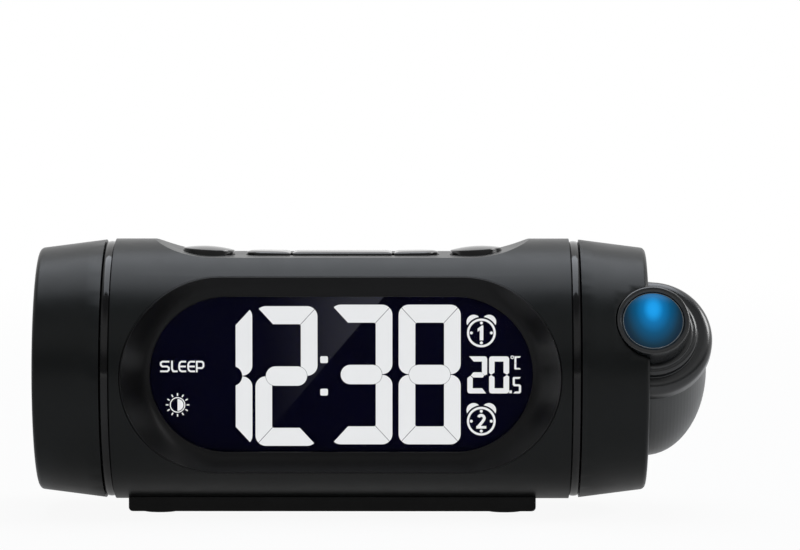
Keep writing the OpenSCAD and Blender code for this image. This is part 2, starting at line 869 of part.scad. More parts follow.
module time_digits() {
    color([0.93, 0.94, 0.94]) upright_plate(lcd_y0 - digit_t, lcd_y0) {
        for (i = [0:len(digit_x) - 1])
            translate([digit_x[i] + digit_w / 2, digit_z[i]])
                for (name = digit_lit[i]) segment(name, digit_lit[i]);
        for (z = [colon_top, colon_low])
            translate([colon_x, z]) soft_rectangle(colon_w, colon_w * 0.9, 0.4);
    }
}

module lcd_frame() {
    color([0.2, 0.2, 0.2]) difference() {
        upright_plate(window_y0 + window_t, board_y0)
            soft_rectangle(2 * frame_half_w, 2 * frame_half_h, 1.2);
        upright_plate(window_y0 + window_t - 1, board_y0 + 1)
            square([2 * (lcd_half_w + lcd_clear), 2 * (lcd_half_h + lcd_clear)], center = true);
        for (x = [-1, 1], z = [-1, 1])
            bar_y(x * display_post_x, z * display_post_z, -body_r, 0, post_r + 0.2);
    }
}

module backlight_diffuser() {
    color([0.9, 0.9, 0.95]) upright_plate(lcd_y1, diffuser_y1)
        square([2 * lcd_half_w - 1, 2 * lcd_half_h - 1], center = true);
}

// Two rows of lamps, evenly spread behind the display glass
module backlight_lamps() {
    per_row = 8;
    lamp_half_w = 1.75;
    lamp_half_h = 1.4;
    outer_x = lcd_half_w - 8.8;
    pitch = 2 * outer_x / (per_row - 1);
    color([1, 1, 0.85])
        for (i = [0:per_row - 1], z = [-lcd_half_h / 2, lcd_half_h / 2]) {
            x = i * pitch - outer_x;
            block(x - lamp_half_w, x + lamp_half_w, board_y0 - lamp_h + 0.1, board_y0,
                z - lamp_half_h, z + lamp_half_h);
        }
}

module display_board() {
    color([0.1, 0.35, 0.2]) difference() {
        upright_plate(board_y0, board_y1)
            soft_rectangle(2 * display_board_half_w, 2 * display_board_half_h, 2);
        for (x = [-1, 1], z = [-1, 1])
            bar_y(x * display_post_x, z * display_post_z, board_y0 - 1, board_y1 + 1, screw_r + 0.1);
    }
}

module display_screws() {
    color("silver")
        for (x = [-1, 1], z = [-1, 1]) {
            difference() {
                union() {
                    bar_y(x * display_post_x, z * display_post_z, board_y0 - thread_len,
                        board_y1 + head_h, screw_r);
                    bar_y(x * display_post_x, z * display_post_z, board_y1, board_y1 + head_h,
                        head_r);
                }
                cross_slot(x * display_post_x, board_y1 + head_h, z * display_post_z);
            }
        }
}

// Flat flexible cable that hangs between the display board and the main board
module display_ribbon() {
    ribbon_z = -18.5;
    sag_r = 30;
    thickness = 0.3;
    width = 16;
    half_span = (main_board_y0 - board_y1) / 2;
    mid_y = (main_board_y0 + board_y1) / 2;
    centre_z = ribbon_z + sqrt(sag_r * sag_r - half_span * half_span);
    color([0.85, 0.82, 0.7]) intersection() {
        translate([-width / 2 - 10, mid_y, axis_z + centre_z]) rotate([0, 90, 0])
            difference() {
                cylinder(h = width, r = sag_r);
                translate([0, 0, -1]) cylinder(h = width + 2, r = sag_r - thickness);
            }
        block(-big, big, board_y1, main_board_y0, -body_r, ribbon_z);
    }
}

// ---- Main board ----

module main_board() {
    color([0.1, 0.35, 0.2]) difference() {
        block(-main_board_half_w, main_board_half_w, main_board_y0, main_board_y1,
            main_board_z0, main_board_z1);
        for (x = [-1, 1], z = [-1, 1])
            bar_y(x * main_post_x, z * main_post_z, main_board_y0 - 1, main_board_y1 + 1,
                screw_r + 0.1);
    }
}

module main_board_screws() {
    color("silver")
        for (x = [-1, 1], z = [-1, 1]) {
            bar_y(x * main_post_x, z * main_post_z, main_board_y0 - head_h,
                main_board_y1 + thread_len, screw_r);
            bar_y(x * main_post_x, z * main_post_z, main_board_y0 - head_h, main_board_y0,
                head_r);
        }
}

// A component on the main board's front, by its middle, size and height
module chip(x, z, w, h, tall) {
    block(x - w / 2, x + w / 2, main_board_y0 - tall, main_board_y0, z - h / 2, z + h / 2);
}

module board_parts() {
    color([0.12, 0.12, 0.13]) {
        chip(0, 4, 12, 12, 1.6);
        chip(-22, 8, 7, 7, 1.4);
        chip(22, 10, 8, 5, 1.5);
        chip(speaker_socket_x, speaker_socket_z, 8, 6, socket_h);
        chip(head_socket_x, 0, 7, 6, socket_h);
        chip(-10, -16.7, 18, 2.4, 1);
        for (p = [[-28, -10], [20, -8], [30, -12]])
            bar_y(p[0], p[1], main_board_y0 - 8, main_board_y0, 3);
    }
}

// ---- Keys ----

module key_board() {
    color([0.1, 0.35, 0.2]) difference() {
        block(-key_board_half_x, key_board_half_x, -key_board_half_y, key_board_half_y,
            key_board_top - board_t, key_board_top);
        for (x = [-1, 1], y = [-1, 1])
            translate([x * key_post_x, y * key_post_y, axis_z + key_board_top - board_t - 1])
                cylinder(h = board_t + 2, r = screw_r + 0.1);
    }
}

module key_board_screws() {
    color("silver")
        for (x = [-1, 1], y = [-1, 1])
            translate([x * key_post_x, y * key_post_y, axis_z + key_board_top - board_t]) {
                translate([0, 0, -head_h])
                    cylinder(h = head_h + board_t + thread_len, r = screw_r);
                translate([0, 0, -head_h]) cylinder(h = head_h, r = head_r);
            }
}

module key_switches() {
    color([0.25, 0.25, 0.27])
        for (x = [-round_nub_x, -side_key_x, 0, side_key_x, round_nub_x]) {
            block(x - switch_w / 2, x + switch_w / 2, -switch_w / 2, switch_w / 2,
                key_board_top, key_board_top + switch_h - 0.8);
            translate([x, 0, axis_z + key_board_top + switch_h - 0.81])
                cylinder(h = 0.81, r = 1.7);
        }
}

// Plan of one of the three keys in the shared opening, from x0 to x1
module pill_plan(x0, x1, grow) {
    intersection() {
        oval(pill_half + grow, pill_r + grow);
        translate([x0, -big / 2]) square([x1 - x0, big]);
    }
}

// A key in the shared opening: its top runs from height z0 at x0 to z1 at x1
module pill_key(x0, x1, z0, z1, nub_x) {
    translate([0, 0, axis_z]) {
        intersection() {
            translate([0, 0, flange_top - flange_t]) linear_extrude(recess_drop + 5)
                pill_plan(x0, x1, 0);
            translate([0, big / 2, 0]) rotate([90, 0, 0]) linear_extrude(big)
                polygon([[x0, flange_top - 2 * flange_t], [x1, flange_top - 2 * flange_t],
                    [x1, recess_z + z1], [x0, recess_z + z0]]);
        }
        translate([0, 0, flange_top - flange_t]) linear_extrude(flange_t)
            pill_plan(x0 < -pill_half + 1 ? x0 - flange_w : x0,
                x1 > pill_half - 1 ? x1 + flange_w : x1, flange_w);
        translate([nub_x, 0, nub_z]) cylinder(h = nub_len + 0.5, r = nub_r);
    }
}

module pill_key_left() {
    color([0.09, 0.09, 0.1])
        pill_key(-pill_half, -key_split - key_gap / 2, side_proud, snooze_proud, -side_key_x);
}

module snooze_key() {
    color([0.09, 0.09, 0.1])
        pill_key(-key_split + key_gap / 2, key_split - key_gap / 2, snooze_proud, snooze_proud, 0);
}

module pill_key_right() {
    color([0.09, 0.09, 0.1])
        pill_key(key_split + key_gap / 2, pill_half, snooze_proud, side_proud, side_key_x);
}

// A round key: crowned top, wall through the case, flange and nub inside
module round_key(side) {
    crown_r = (round_key_r * round_key_r + round_crown * round_crown) / (2 * round_crown);
    crown_half = asin(round_key_r / crown_r);
    low = -case_wall - flange_gap;
    color([0.09, 0.09, 0.1]) on_ramp(side) rotate_extrude()
        polygon(concat(
            [[0, -round_nub_end], [nub_r, -round_nub_end],
             [nub_r, low - flange_t], [round_key_r + flange_w, low - flange_t],
             [round_key_r + flange_w, low], [round_key_r, low]],
            arc(0, round_proud + round_crown - crown_r, crown_r, 90 - crown_half, 90, 8)));
}

module round_key_left() {
    round_key(-1);
}

module round_key_right() {
    round_key(1);
}

// ---- Ends ----

// Wall of an end cap as points [radius, x], outside first
function cap_outline() =
    let (cx = cap_x1 - cap_round, cr = cap_r1 - cap_round)
    concat([[cap_r0 - cap_wall, cap_x0], [cap_r0, cap_x0]],
        arc(cr, cx, cap_round, 0, 90, 8),
        [[0, cap_x1], [0, cap_x1 - cap_wall], [cap_r1 - cap_wall, cap_x1 - cap_wall]]);

module trim_ring(side) {
    x0 = side > 0 ? case_half : -case_half - trim_w;
    color([0.06, 0.06, 0.07]) axial_ring(x0, x0 + trim_w, trim_r, trim_r - trim_t);
}

module left_trim_ring() {
    trim_ring(-1);
}

module right_trim_ring() {
    trim_ring(1);
}

module left_cap() {
    color([0.10, 0.10, 0.11]) difference() {
        union() {
            mirror([1, 0, 0]) axial_turned(cap_outline());
            axial_ring(-speaker_face - 0.5, -speaker_face + 3, speaker_r + 0.3 + seat_wall,
                speaker_r + 0.3);
            for (a = cap_screw_angles)
                rotate_about_axis(a) translate([-speaker_face - 0.5, 0, cap_screw_ring])
                    rotate([0, 90, 0]) cylinder(h = speaker_face + 0.5 - case_half, r = cap_boss_r);
        }
        for (ring = [0:grille_rings], i = [0:max(0, 6 * ring - 1)])
            rotate_about_axis(ring == 0 ? 0 : 60 * i / ring)
                translate([-cap_x1 - 1, 0, ring * grille_pitch]) rotate([0, 90, 0])
                    cylinder(h = cap_wall + 2, r = grille_hole_r);
        for (a = cap_screw_angles)
            rotate_about_axis(a) translate([-case_half - 10, 0, cap_screw_ring])
                rotate([0, 90, 0]) cylinder(h = 11, r = rear_screw_r + thread_clear);
    }
}

module cap_screws() {
    color("silver")
        for (a = cap_screw_angles)
            rotate_about_axis(a) translate([0, 0, cap_screw_ring]) rotate([0, 90, 0]) {
                translate([0, 0, -case_half - 8])
                    cylinder(h = 8 + case_wall + head_h, r = rear_screw_r);
                translate([0, 0, -cavity_x]) cylinder(h = head_h, r = rear_head_r);
            }
}

// ---- Speaker ----

module speaker_gasket() {
    color([0.15, 0.15, 0.15])
        axial_ring(-speaker_face, -speaker_face + gasket_t, speaker_r, cone_r + 0.5);
}

module speaker_basket() {
    f = -speaker_face + gasket_t;
    back = f + speaker_depth;
    color([0.35, 0.36, 0.38]) difference() {
        axial_turned([[cone_r, f], [speaker_r, f], [speaker_r, f + rim_t],
            [cone_r + 1, f + rim_t], [magnet_r + 1, back], [coil_r + 1, back],
            [coil_r + 1, back - 1.2], [magnet_r, back - 1.2], [cone_r, f + rim_t]]);
        for (a = [0:60:300])
            rotate_about_axis(a) translate([f + rim_t + 3, -4, magnet_r + 1])
                cube([speaker_depth - rim_t - 5, 8, 8]);
    }
}

module speaker_cone() {
    f = -speaker_face + gasket_t;
    skin = 0.5;
    color([0.13, 0.13, 0.14]) axial_turned([[cone_r - 0.1, f], [cone_r - 0.1, f + skin],
        [cone_r - 2.5, f + skin], [coil_r - 0.3, f + speaker_depth - 3],
        [coil_r - 0.3, f + speaker_depth + 1], [coil_r - 0.8, f + speaker_depth + 1],
        [coil_r - 0.8, f + speaker_depth - 3.4], [0, f + speaker_depth - 5.2],
        [0, f + speaker_depth - 5.8], [coil_r - 0.4, f + speaker_depth - 4],
        [cone_r - 2.8, f]]);
}

module speaker_magnet() {
    x0 = -speaker_face + gasket_t + speaker_depth;
    color([0.25, 0.25, 0.26]) difference() {
        axial_disc(x0, x0 + magnet_h, magnet_r);
        axial_ring(x0 - 1, x0 + magnet_h - 3, coil_r + 0.6, coil_r - 1.4);
    }
}

// ---- Wires ----

function bezier(p, s) =
    let (q = 1 - s)
    q * q * q * p[0] + 3 * q * q * s * p[1] + 3 * q * s * s * p[2] + s * s * s * p[3];
function unit(v) = v / norm(v);

// Round wire along a path, with eight sides
module wire(path, r) {
    n = len(path);
    sides = 8;
    rings = [for (i = [0:n - 1])
        let (t = unit(path[min(i + 1, n - 1)] - path[max(i - 1, 0)]),
             u = unit(cross(t, [0, 0.2, 1])), v = cross(u, t))
        for (k = [0:sides - 1])
            path[i] + r * cos(360 * k / sides) * u + r * sin(360 * k / sides) * v];
    walls = [for (i = [0:n - 2], k = [0:sides - 1])
        let (m = (k + 1) % sides)
        each [[i * sides + k, i * sides + m, (i + 1) * sides + m],
              [i * sides + k, (i + 1) * sides + m, (i + 1) * sides + k]]];
    ends = [[for (k = [sides - 1:-1:0]) k], [for (k = [0:sides - 1]) (n - 1) * sides + k]];
    polyhedron(rings, concat(walls, ends));
}

// Wire from p[0] to p[5]: straight at both ends, curved between p[1] and p[4]
module curved_wire(p, r) {
    steps = 12;
    curve = [p[1], p[2], p[3], p[4]];
    wire(concat([p[0]], [for (i = [0:steps]) bezier(curve, i / steps)], [p[5]]), r);
}

module speaker_wires() {
    x0 = -speaker_face + gasket_t + speaker_depth + magnet_h;
    y1 = main_board_y0 - socket_h;
    color([0.7, 0.1, 0.1])
        for (z = [-1.2, 1.2])
            translate([0, 0, axis_z + speaker_socket_z + z])
                curved_wire([[x0, 4, 0], [x0 + 2, 4, 0], [x0 + 8, 4, 0],
                    [speaker_socket_x, 4, 0], [speaker_socket_x, y1 - 2, 0],
                    [speaker_socket_x, y1, 0]], 0.6);
}

module board_lead() {
    color([0.15, 0.15, 0.16])
        curved_wire([[cable_end_x - 0.3, 0, axis_z], [cable_end_x - 2, 0, axis_z],
            [cable_end_x - 8, 0, axis_z], [head_socket_x, 3, axis_z],
            [head_socket_x, main_board_y0 - socket_h - 2, axis_z],
            [head_socket_x, main_board_y0 - socket_h, axis_z]], cable_r);
}

// ---- Turning joint of the projector head ----

module spindle_bush() {
    color([0.9, 0.9, 0.85]) axial_turned([[bush_in_r, bush_x0], [bush_r, bush_x0],
        [bush_r, case_half], [bush_flange_r, case_half], [bush_flange_r, bush_x1],
        [bush_in_r, bush_x1]]);
}

module friction_washer() {
    color("darkgray")
        axial_ring(bush_x1, cap_x0 - washer_gap, bush_flange_r - 0.5, spindle_r + 0.4);
}

module thrust_washer() {
    color([0.8, 0.8, 0.75])
        axial_ring(clip_x1, bush_x0 - washer_gap, bush_r + washer_lap, spindle_r + 0.02);
}

module spindle_clip() {
    color("silver") axial_ring(clip_x1 - clip_t, clip_x1, bush_r, clip_groove_r + 0.05);
}

// Space round everything that turns about the beam's axis, wider by a clearance
module barrel_space(c) {
    beam_turned([[0, back_l - c], [neck_r + c, back_l - c], [neck_r + c, collar_l - c],
        [collar_r + c, collar_l - c], [collar_r + c, mid_l + c], [mid_r + c, mid_l + c],
        [mid_r + c, mid_end + c], [focus_r + c, mid_end + c], [focus_r + c, focus_l + 10],
        [0, focus_l + 10]]);
}

module projector_cap() {
    color([0.10, 0.10, 0.11]) difference() {
        union() {
            axial_turned(cap_outline());
            axial_ring(cap_x0, cap_x0 + disc_t, cap_r0 - cap_wall / 2 - 0.3, spindle_bore);
            axial_ring(spindle_x0, cap_x0 + 0.5, spindle_r, spindle_bore);
            on_axis(case_half + stop_gap) linear_extrude(cap_x0 - case_half - stop_gap + 0.5)
                ring_wedge(stop_r0, stop_r1, 90 - stop_width / 2, 90 + stop_width / 2);
        }
        axial_ring(clip_x1 - clip_t - 0.02, clip_x1 + 0.02, spindle_r + 1, clip_groove_r);
        barrel_space(barrel_clear);
    }
}

module projector_dome() {
    steps = 24;
    in_r = dome_r - dome_wall;
    in_reach = dome_reach - dome_wall;
    turns = [for (i = [0:steps]) 90 * i / steps];
    color([0.36, 0.37, 0.37]) difference() {
        axial_turned(concat(
            [for (t = turns) [dome_r * cos(t), cap_x1 + dome_reach * sin(t)]],
            [for (t = turns) [in_r * sin(t), cap_x1 + in_reach * cos(t)]]));
        barrel_space(barrel_clear);
    }
}

// ---- Projector ----

module projector_barrel() {
    top_r = collar_r - collar_round;
    color([0.14, 0.15, 0.16]) beam_turned(concat(
        [[bore_r, neck_l0], [neck_r, neck_l0], [neck_r, collar_l], [collar_r, collar_l]],
        arc(top_r, collar_l + collar_h, collar_round, 0, 90, 8),
        [[mid_r, mid_l]],
        arc(mid_r - 1, mid_end - 1, 1, 0, 90, 6),
        [[front_bore_r, mid_end], [front_bore_r, bore_step_l], [front_bore_r, skirt_l0 - 1],
         [bore_r, skirt_l0 - 2.6]]));
}

module focus_ring() {
    r = 0.5;
    color([0.13, 0.14, 0.15]) beam_turned(concat(
        [[focus_in_r, skirt_l0], [skirt_r, skirt_l0], [skirt_r, focus_l0], [focus_r, focus_l0]],
        arc(focus_r - r, focus_l - r, r, 0, 90, 5),
        [[focus_in_r + 0.3, focus_l], [focus_in_r, focus_l - 0.3]]));
}

module lens_cell() {
    seat = lens_r - 0.8;
    color([0.1, 0.1, 0.11]) beam_turned([[seat, lens_l0], [lens_cell_r, lens_l0],
        [lens_cell_r, lens_l1], [lens_r + 0.05, lens_l1], [lens_r + 0.05, lens_l1 - 3],
        [seat, lens_l1 - 3]]);
}

module projection_lens() {
    dome_h = 1.7;
    edge_l = lens_l1 - 1.2;
    curve_r = (lens_r * lens_r + dome_h * dome_h) / (2 * dome_h);
    half = asin(lens_r / curve_r);
    color([0.1, 0.5, 0.9, 0.6]) beam_turned(concat([[0, lens_l1 - 3], [lens_r, lens_l1 - 3]],
        arc(0, edge_l + dome_h - curve_r, curve_r, 90 - half, 90, 10)));
}

module condenser_lens() {
    lens_t = 3;
    curve_r = (bore_r * bore_r + lens_t * lens_t) / (2 * lens_t);
    half = asin((bore_r - 0.1) / curve_r);
    color([0.8, 0.9, 1, 0.5]) beam_turned(concat([[0, condenser_l], [bore_r - 0.1, condenser_l]],
        arc(0, condenser_l + 0.8 + lens_t - curve_r, curve_r, 90 - half, 90, 10)));
}

module picture_slide() {
    mask_t = 1.2;
    glass_t = 1.1;
    half_w = bore_r - 5.2;
    half_h = bore_r - 6.2;
    lap = 0.5;
    color([0.3, 0.3, 0.35]) on_beam() translate([0, 0, slide_l]) {
        difference() {
            cylinder(h = mask_t, r = bore_r - 0.1);
            translate([-half_w, -half_h, -1]) cube([2 * half_w, 2 * half_h, mask_t + 2]);
        }
        translate([-half_w - lap, -half_h - lap, mask_t - 0.01])
            cube([2 * (half_w + lap), 2 * (half_h + lap), glass_t]);
    }
}

module lamp_board() {
    color([0.1, 0.35, 0.2]) on_beam() {
        translate([0, 0, neck_l0 - board_t]) cylinder(h = board_t, r = neck_r - 0.2);
        translate([-2.5, -2.5, neck_l0 - 0.01]) cube([5, 5, 1.4]);
    }
}

module heat_sink() {
    fins = 5;
    pitch = 2.8;
    color("silver") on_beam() translate([0, 0, back_l]) {
        translate([-7, -6, sink_l - 1]) cube([14, 12, 1]);
        for (i = [0:fins - 1])
            translate([-6.1 + i * pitch, -6, 0]) cube([1, 12, sink_l - 0.99]);
    }
}

// Point at x along the barrel and at a distance along the beam from the barrel's axis
function at_beam(x, l) = [x, -l * cos(beam_tilt), axis_z + l * sin(beam_tilt)];

module projector_cable() {
    on_back = neck_l0 - board_t;
    start_x = barrel_x - 9;
    turn_x = cap_x0 + disc_t + cable_r + 2;
    out = [at_beam(start_x, on_back - 0.3), at_beam(start_x, on_back - 7.4),
        at_beam(turn_x, on_back - 7.4), at_beam(turn_x, on_back - 0.9)];
    in = [out[3], at_beam(turn_x, -1.5), at_beam(turn_x - 1, 0), at_beam(cap_x0, 0)];
    color([0.15, 0.15, 0.16]) wire(concat([at_beam(start_x, on_back)],
        [for (i = [0:12]) bezier(out, i / 12)],
        [for (i = [1:8]) bezier(in, i / 8)],
        [at_beam(cable_end_x + 2, 0), at_beam(cable_end_x, 0)]), cable_r);
}

// ---- Sockets ----

module dc_jack() {
    nose_y1 = pocket_y - 0.2;
    low = port_z - 5.5;
    body_y1 = sqrt(cavity_r * cavity_r - low * low) - 0.3;
    color([0.1, 0.1, 0.1]) difference() {
        union() {
            block(jack_x - 4.5, jack_x + 4.5, main_board_y1, body_y1, low, port_z + 4.5);
            bar_y(jack_x, port_z, body_y1 - 1, nose_y1, jack_nose_r);
        }
        bar_y(jack_x, port_z, main_board_y1 + jack_floor, nose_y1 + 1, jack_bore_r);
    }
}

module dc_jack_pin() {
    color("silver") bar_y(jack_x, port_z, main_board_y1 + jack_floor, pocket_y - 1.2,
        jack_pin_r);
}

module usb_port() {
    color("silver") difference() {
        block(usb_x - usb_w / 2, usb_x + usb_w / 2, main_board_y1, pocket_y - 0.2,
            port_z - usb_h / 2, port_z + usb_h / 2);
        block(usb_x - usb_w / 2 + usb_skin, usb_x + usb_w / 2 - usb_skin, main_board_y1 + usb_skin,
            pocket_y, port_z - usb_h / 2 + usb_skin, port_z + usb_h / 2 - usb_skin);
    }
}

module usb_tongue() {
    inner_h = usb_h / 2 - usb_skin;
    color("white") {
        block(usb_x - usb_w / 2 + usb_skin, usb_x + usb_w / 2 - usb_skin, main_board_y1 + usb_skin,
            main_board_y1 + 3, port_z - inner_h, port_z + inner_h);
        block(usb_x - 5.5, usb_x + 5.5, main_board_y1 + 2.9, pocket_y - 0.8, port_z + 0.3,
            port_z + 2.1);
    }
}

module aerial_grommet() {
    flange_r = aerial_hole_r + 0.7;
    groove = aerial_hole_r - 0.05;
    y_in = pocket_y - case_wall - 0.1;
    color([0.14, 0.14, 0.14]) difference() {
        union() {
            bar_y(aerial_x, port_z, y_in - 1.2, y_in, flange_r);
            bar_y(aerial_x, port_z, y_in - 1, pocket_y + 1, groove);
            bar_y(aerial_x, port_z, pocket_y, pocket_y + 1.2, flange_r + 0.5);
        }
        bar_y(aerial_x, port_z, y_in - 3, pocket_y + 3, 0.9);
    }
}

// ---- Draw ----

main_case();
rear_cover();
base_stand();
rubber_feet();
battery_cover();
coin_cell();
cell_contacts();
bezel();
display_window();
time_digits();
lcd_panel();
lcd_frame();
backlight_diffuser();
backlight_lamps();
display_board();
display_screws();
display_ribbon();
main_board();
board_parts();
main_board_screws();
key_board();
key_switches();
key_board_screws();
round_key_left();
round_key_right();
pill_key_left();
snooze_key();
pill_key_right();
left_cap();
left_trim_ring();
cap_screws();
speaker_basket();
speaker_cone();
speaker_magnet();
speaker_gasket();
speaker_wires();
right_trim_ring();
spindle_bush();
friction_washer();
thrust_washer();
spindle_clip();
projector_cap();
projector_dome();
projector_barrel();
focus_ring();
lens_cell();
projection_lens();
condenser_lens();
picture_slide();
lamp_board();
heat_sink();
projector_cable();
board_lead();
dc_jack();
dc_jack_pin();
usb_port();
usb_tongue();
aerial_grommet();
rear_screws();
base_screws();
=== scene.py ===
"""Projection alarm clock: finishes and detailed pieces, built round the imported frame."""
import math
import bpy
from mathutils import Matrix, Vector
from bpy.props import FloatProperty, FloatVectorProperty, PointerProperty


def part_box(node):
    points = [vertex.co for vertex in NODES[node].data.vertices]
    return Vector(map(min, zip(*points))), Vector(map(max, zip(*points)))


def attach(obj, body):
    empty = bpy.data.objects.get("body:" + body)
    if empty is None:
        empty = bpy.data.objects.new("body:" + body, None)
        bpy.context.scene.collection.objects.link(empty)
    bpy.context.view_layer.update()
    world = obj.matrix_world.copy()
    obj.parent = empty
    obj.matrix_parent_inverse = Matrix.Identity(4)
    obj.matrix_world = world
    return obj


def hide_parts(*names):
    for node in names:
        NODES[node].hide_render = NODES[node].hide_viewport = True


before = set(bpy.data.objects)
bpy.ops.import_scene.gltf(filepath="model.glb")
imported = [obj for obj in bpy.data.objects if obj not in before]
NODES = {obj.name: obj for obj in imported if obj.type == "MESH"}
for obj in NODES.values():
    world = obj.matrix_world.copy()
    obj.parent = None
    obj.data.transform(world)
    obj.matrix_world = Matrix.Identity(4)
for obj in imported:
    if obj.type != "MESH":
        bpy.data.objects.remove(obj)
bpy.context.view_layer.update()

bl_info = {
    "name": "Projection Alarm Clock",
    "version": (1, 0, 0),
    "blender": (4, 5, 0),
    "location": "View3D > Sidebar > Clock",
    "description": "Finishes and detailed pieces of a projection alarm clock",
    "category": "Object",
}

MM = 0.001

# Places that the frame gives, in metres
RING_LOW, RING_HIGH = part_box("left_trim_ring")
AXIS_Z = (RING_LOW.z + RING_HIGH.z) / 2
BODY_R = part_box("main_case")[1].z - AXIS_Z
SEGMENT_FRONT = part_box("time_digits")[0].y
SEGMENT_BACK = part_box("lcd_panel")[0].y
WINDOW_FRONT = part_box("display_window")[0].y

# The long keys stand this far over their recess, in millimetres
KEY_RISE = 1.1
RECESS_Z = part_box("snooze_key")[1].z - KEY_RISE * MM

# The projector's beam: its tilt, its place along the case in metres, and the focus ring's
# mouth along the beam in millimetres
BEAM_TILT = math.radians(27)
HEAD_X = 0.0893
FOCUS_L = 36.4

# Step of the grid that the display's small signs are drawn on, in millimetres
GRID = 0.2882


# ---- Settings ----

def colour(name, description, default):
    """A colour setting, in linear light."""
    return FloatVectorProperty(name=name, description=description, default=default,
                               subtype="COLOR", size=3, min=0.0, max=1.0)


def length(name, description, default):
    """A length setting, in metres."""
    return FloatProperty(name=name, description=description, default=default,
                         unit="LENGTH", min=0.0, precision=5)


class ClockColours(bpy.types.PropertyGroup):
    """Colours of the clock's finishes"""
    case_black: colour("Case", "Satin plastic of the case and end caps", (0.0056, 0.0068, 0.007))
    base_black: colour("Base", "Plastic of the base", (0.0045, 0.0045, 0.0045))
    gloss_black: colour("Gloss", "Bezel and trim rings", (0.006, 0.006, 0.0065))
    key_black: colour("Keys", "Keys on the top", (0.012, 0.012, 0.0125))
    dome_grey: colour("Dome", "Dome of the projector", (0.06, 0.062, 0.062))
    barrel_black: colour("Barrel", "Stepped barrel of the projector", (0.006, 0.007, 0.0078))
    glass_navy: colour("Display glass", "Unlit display", (0.0025, 0.0025, 0.02))
    lit_white: colour("Lit segments", "Digits and icons", (0.86, 0.87, 0.88))
    lens_glow: colour("Lens", "Light in the projection lens", (0.0, 0.22, 0.75))


class ClockSizes(bpy.types.PropertyGroup):
    """Sizes of the details that the frame leaves to the finish"""
    icon_ring: length("Icon ring", "Outer radius of an alarm icon's ring", 4.14 * MM)
    icon_stroke: length("Icon stroke", "Width of an alarm icon's ring", 0.63 * MM)
    word_height: length("Word height", "Height of the word on the display", 3.3 * MM)
    word_stroke: length("Word stroke", "Width of the word's strokes", 0.5 * MM)


class ClockStage(bpy.types.PropertyGroup):
    """Camera and light"""
    distance: length("Distance", "Camera to the barrel's axis", 1.33)
    focal: FloatProperty(name="Focal length", description="In millimetres on a 36 mm sensor",
                         default=204.3, min=20.0)
    azimuth: FloatProperty(name="Azimuth", description="Camera to the right of straight ahead",
                           default=math.radians(1.0), subtype="ANGLE")
    elevation: FloatProperty(name="Elevation", description="Camera above the horizon",
                             default=math.radians(4.6), subtype="ANGLE")
    aim: FloatVectorProperty(name="Aim", description="Point at the middle of the view",
                             default=(0.0168, 0.0, AXIS_Z + 0.02735), subtype="TRANSLATION", size=3)
    key_power: FloatProperty(name="Key light", description="Power of the large lamp", default=8.8)
    fill_power: FloatProperty(name="Fill light", description="Power of the side lamp", default=8.0)


def settings():
    """The colours and the sizes that the panel shows."""
    return bpy.context.scene.clock_colours, bpy.context.scene.clock_sizes


# ---- Materials ----

class Wiring:
    """A node tree, and helpers that add nodes and wire them"""

    def __init__(self, tree):
        self.tree = tree

    def feed(self, node, inputs):
        """Each input takes a value, or a wire from another node's output."""
        for name, value in inputs.items():
            if isinstance(value, bpy.types.NodeSocket):
                self.tree.links.new(value, node.inputs[name])
            else:
                node.inputs[name].default_value = value

    def add(self, kind, inputs, **values):
        """A new node with its own settings and its inputs."""
        node = self.tree.nodes.new(kind)
        for key, value in values.items():
            setattr(node, key, value)
        self.feed(node, inputs)
        return node

    def maths(self, operation, a, b):
        """The result of an operation on two numbers or outputs."""
        return self.add("ShaderNodeMath", {0: a, 1: b}, operation=operation).outputs["Value"]

    def largest(self, first, *others):
        """The largest of several outputs."""
        for other in others:
            first = self.maths("MAXIMUM", first, other)
        return first

    def distance(self, place):
        """How far a place is from the origin."""
        return self.add("ShaderNodeVectorMath", {0: place}, operation="LENGTH").outputs["Value"]

    def ramp(self, source, start, end, low=0.0, high=1.0, kind="SMOOTHSTEP"):
        """Low where the source is under the start, and high where it is past the end."""
        return self.add("ShaderNodeMapRange", {
            "Value": source, "From Min": start, "From Max": end, "To Min": low,
            "To Max": high}, interpolation_type=kind).outputs["Result"]

    def surface(self, output, share, plain, seen):
        """The output shows the plain shader, and by a share the other one."""
        mix = self.add("ShaderNodeMixShader", {0: share, 1: plain, 2: seen})
        self.feed(self.tree.nodes[output], {"Surface": mix.outputs["Shader"]})


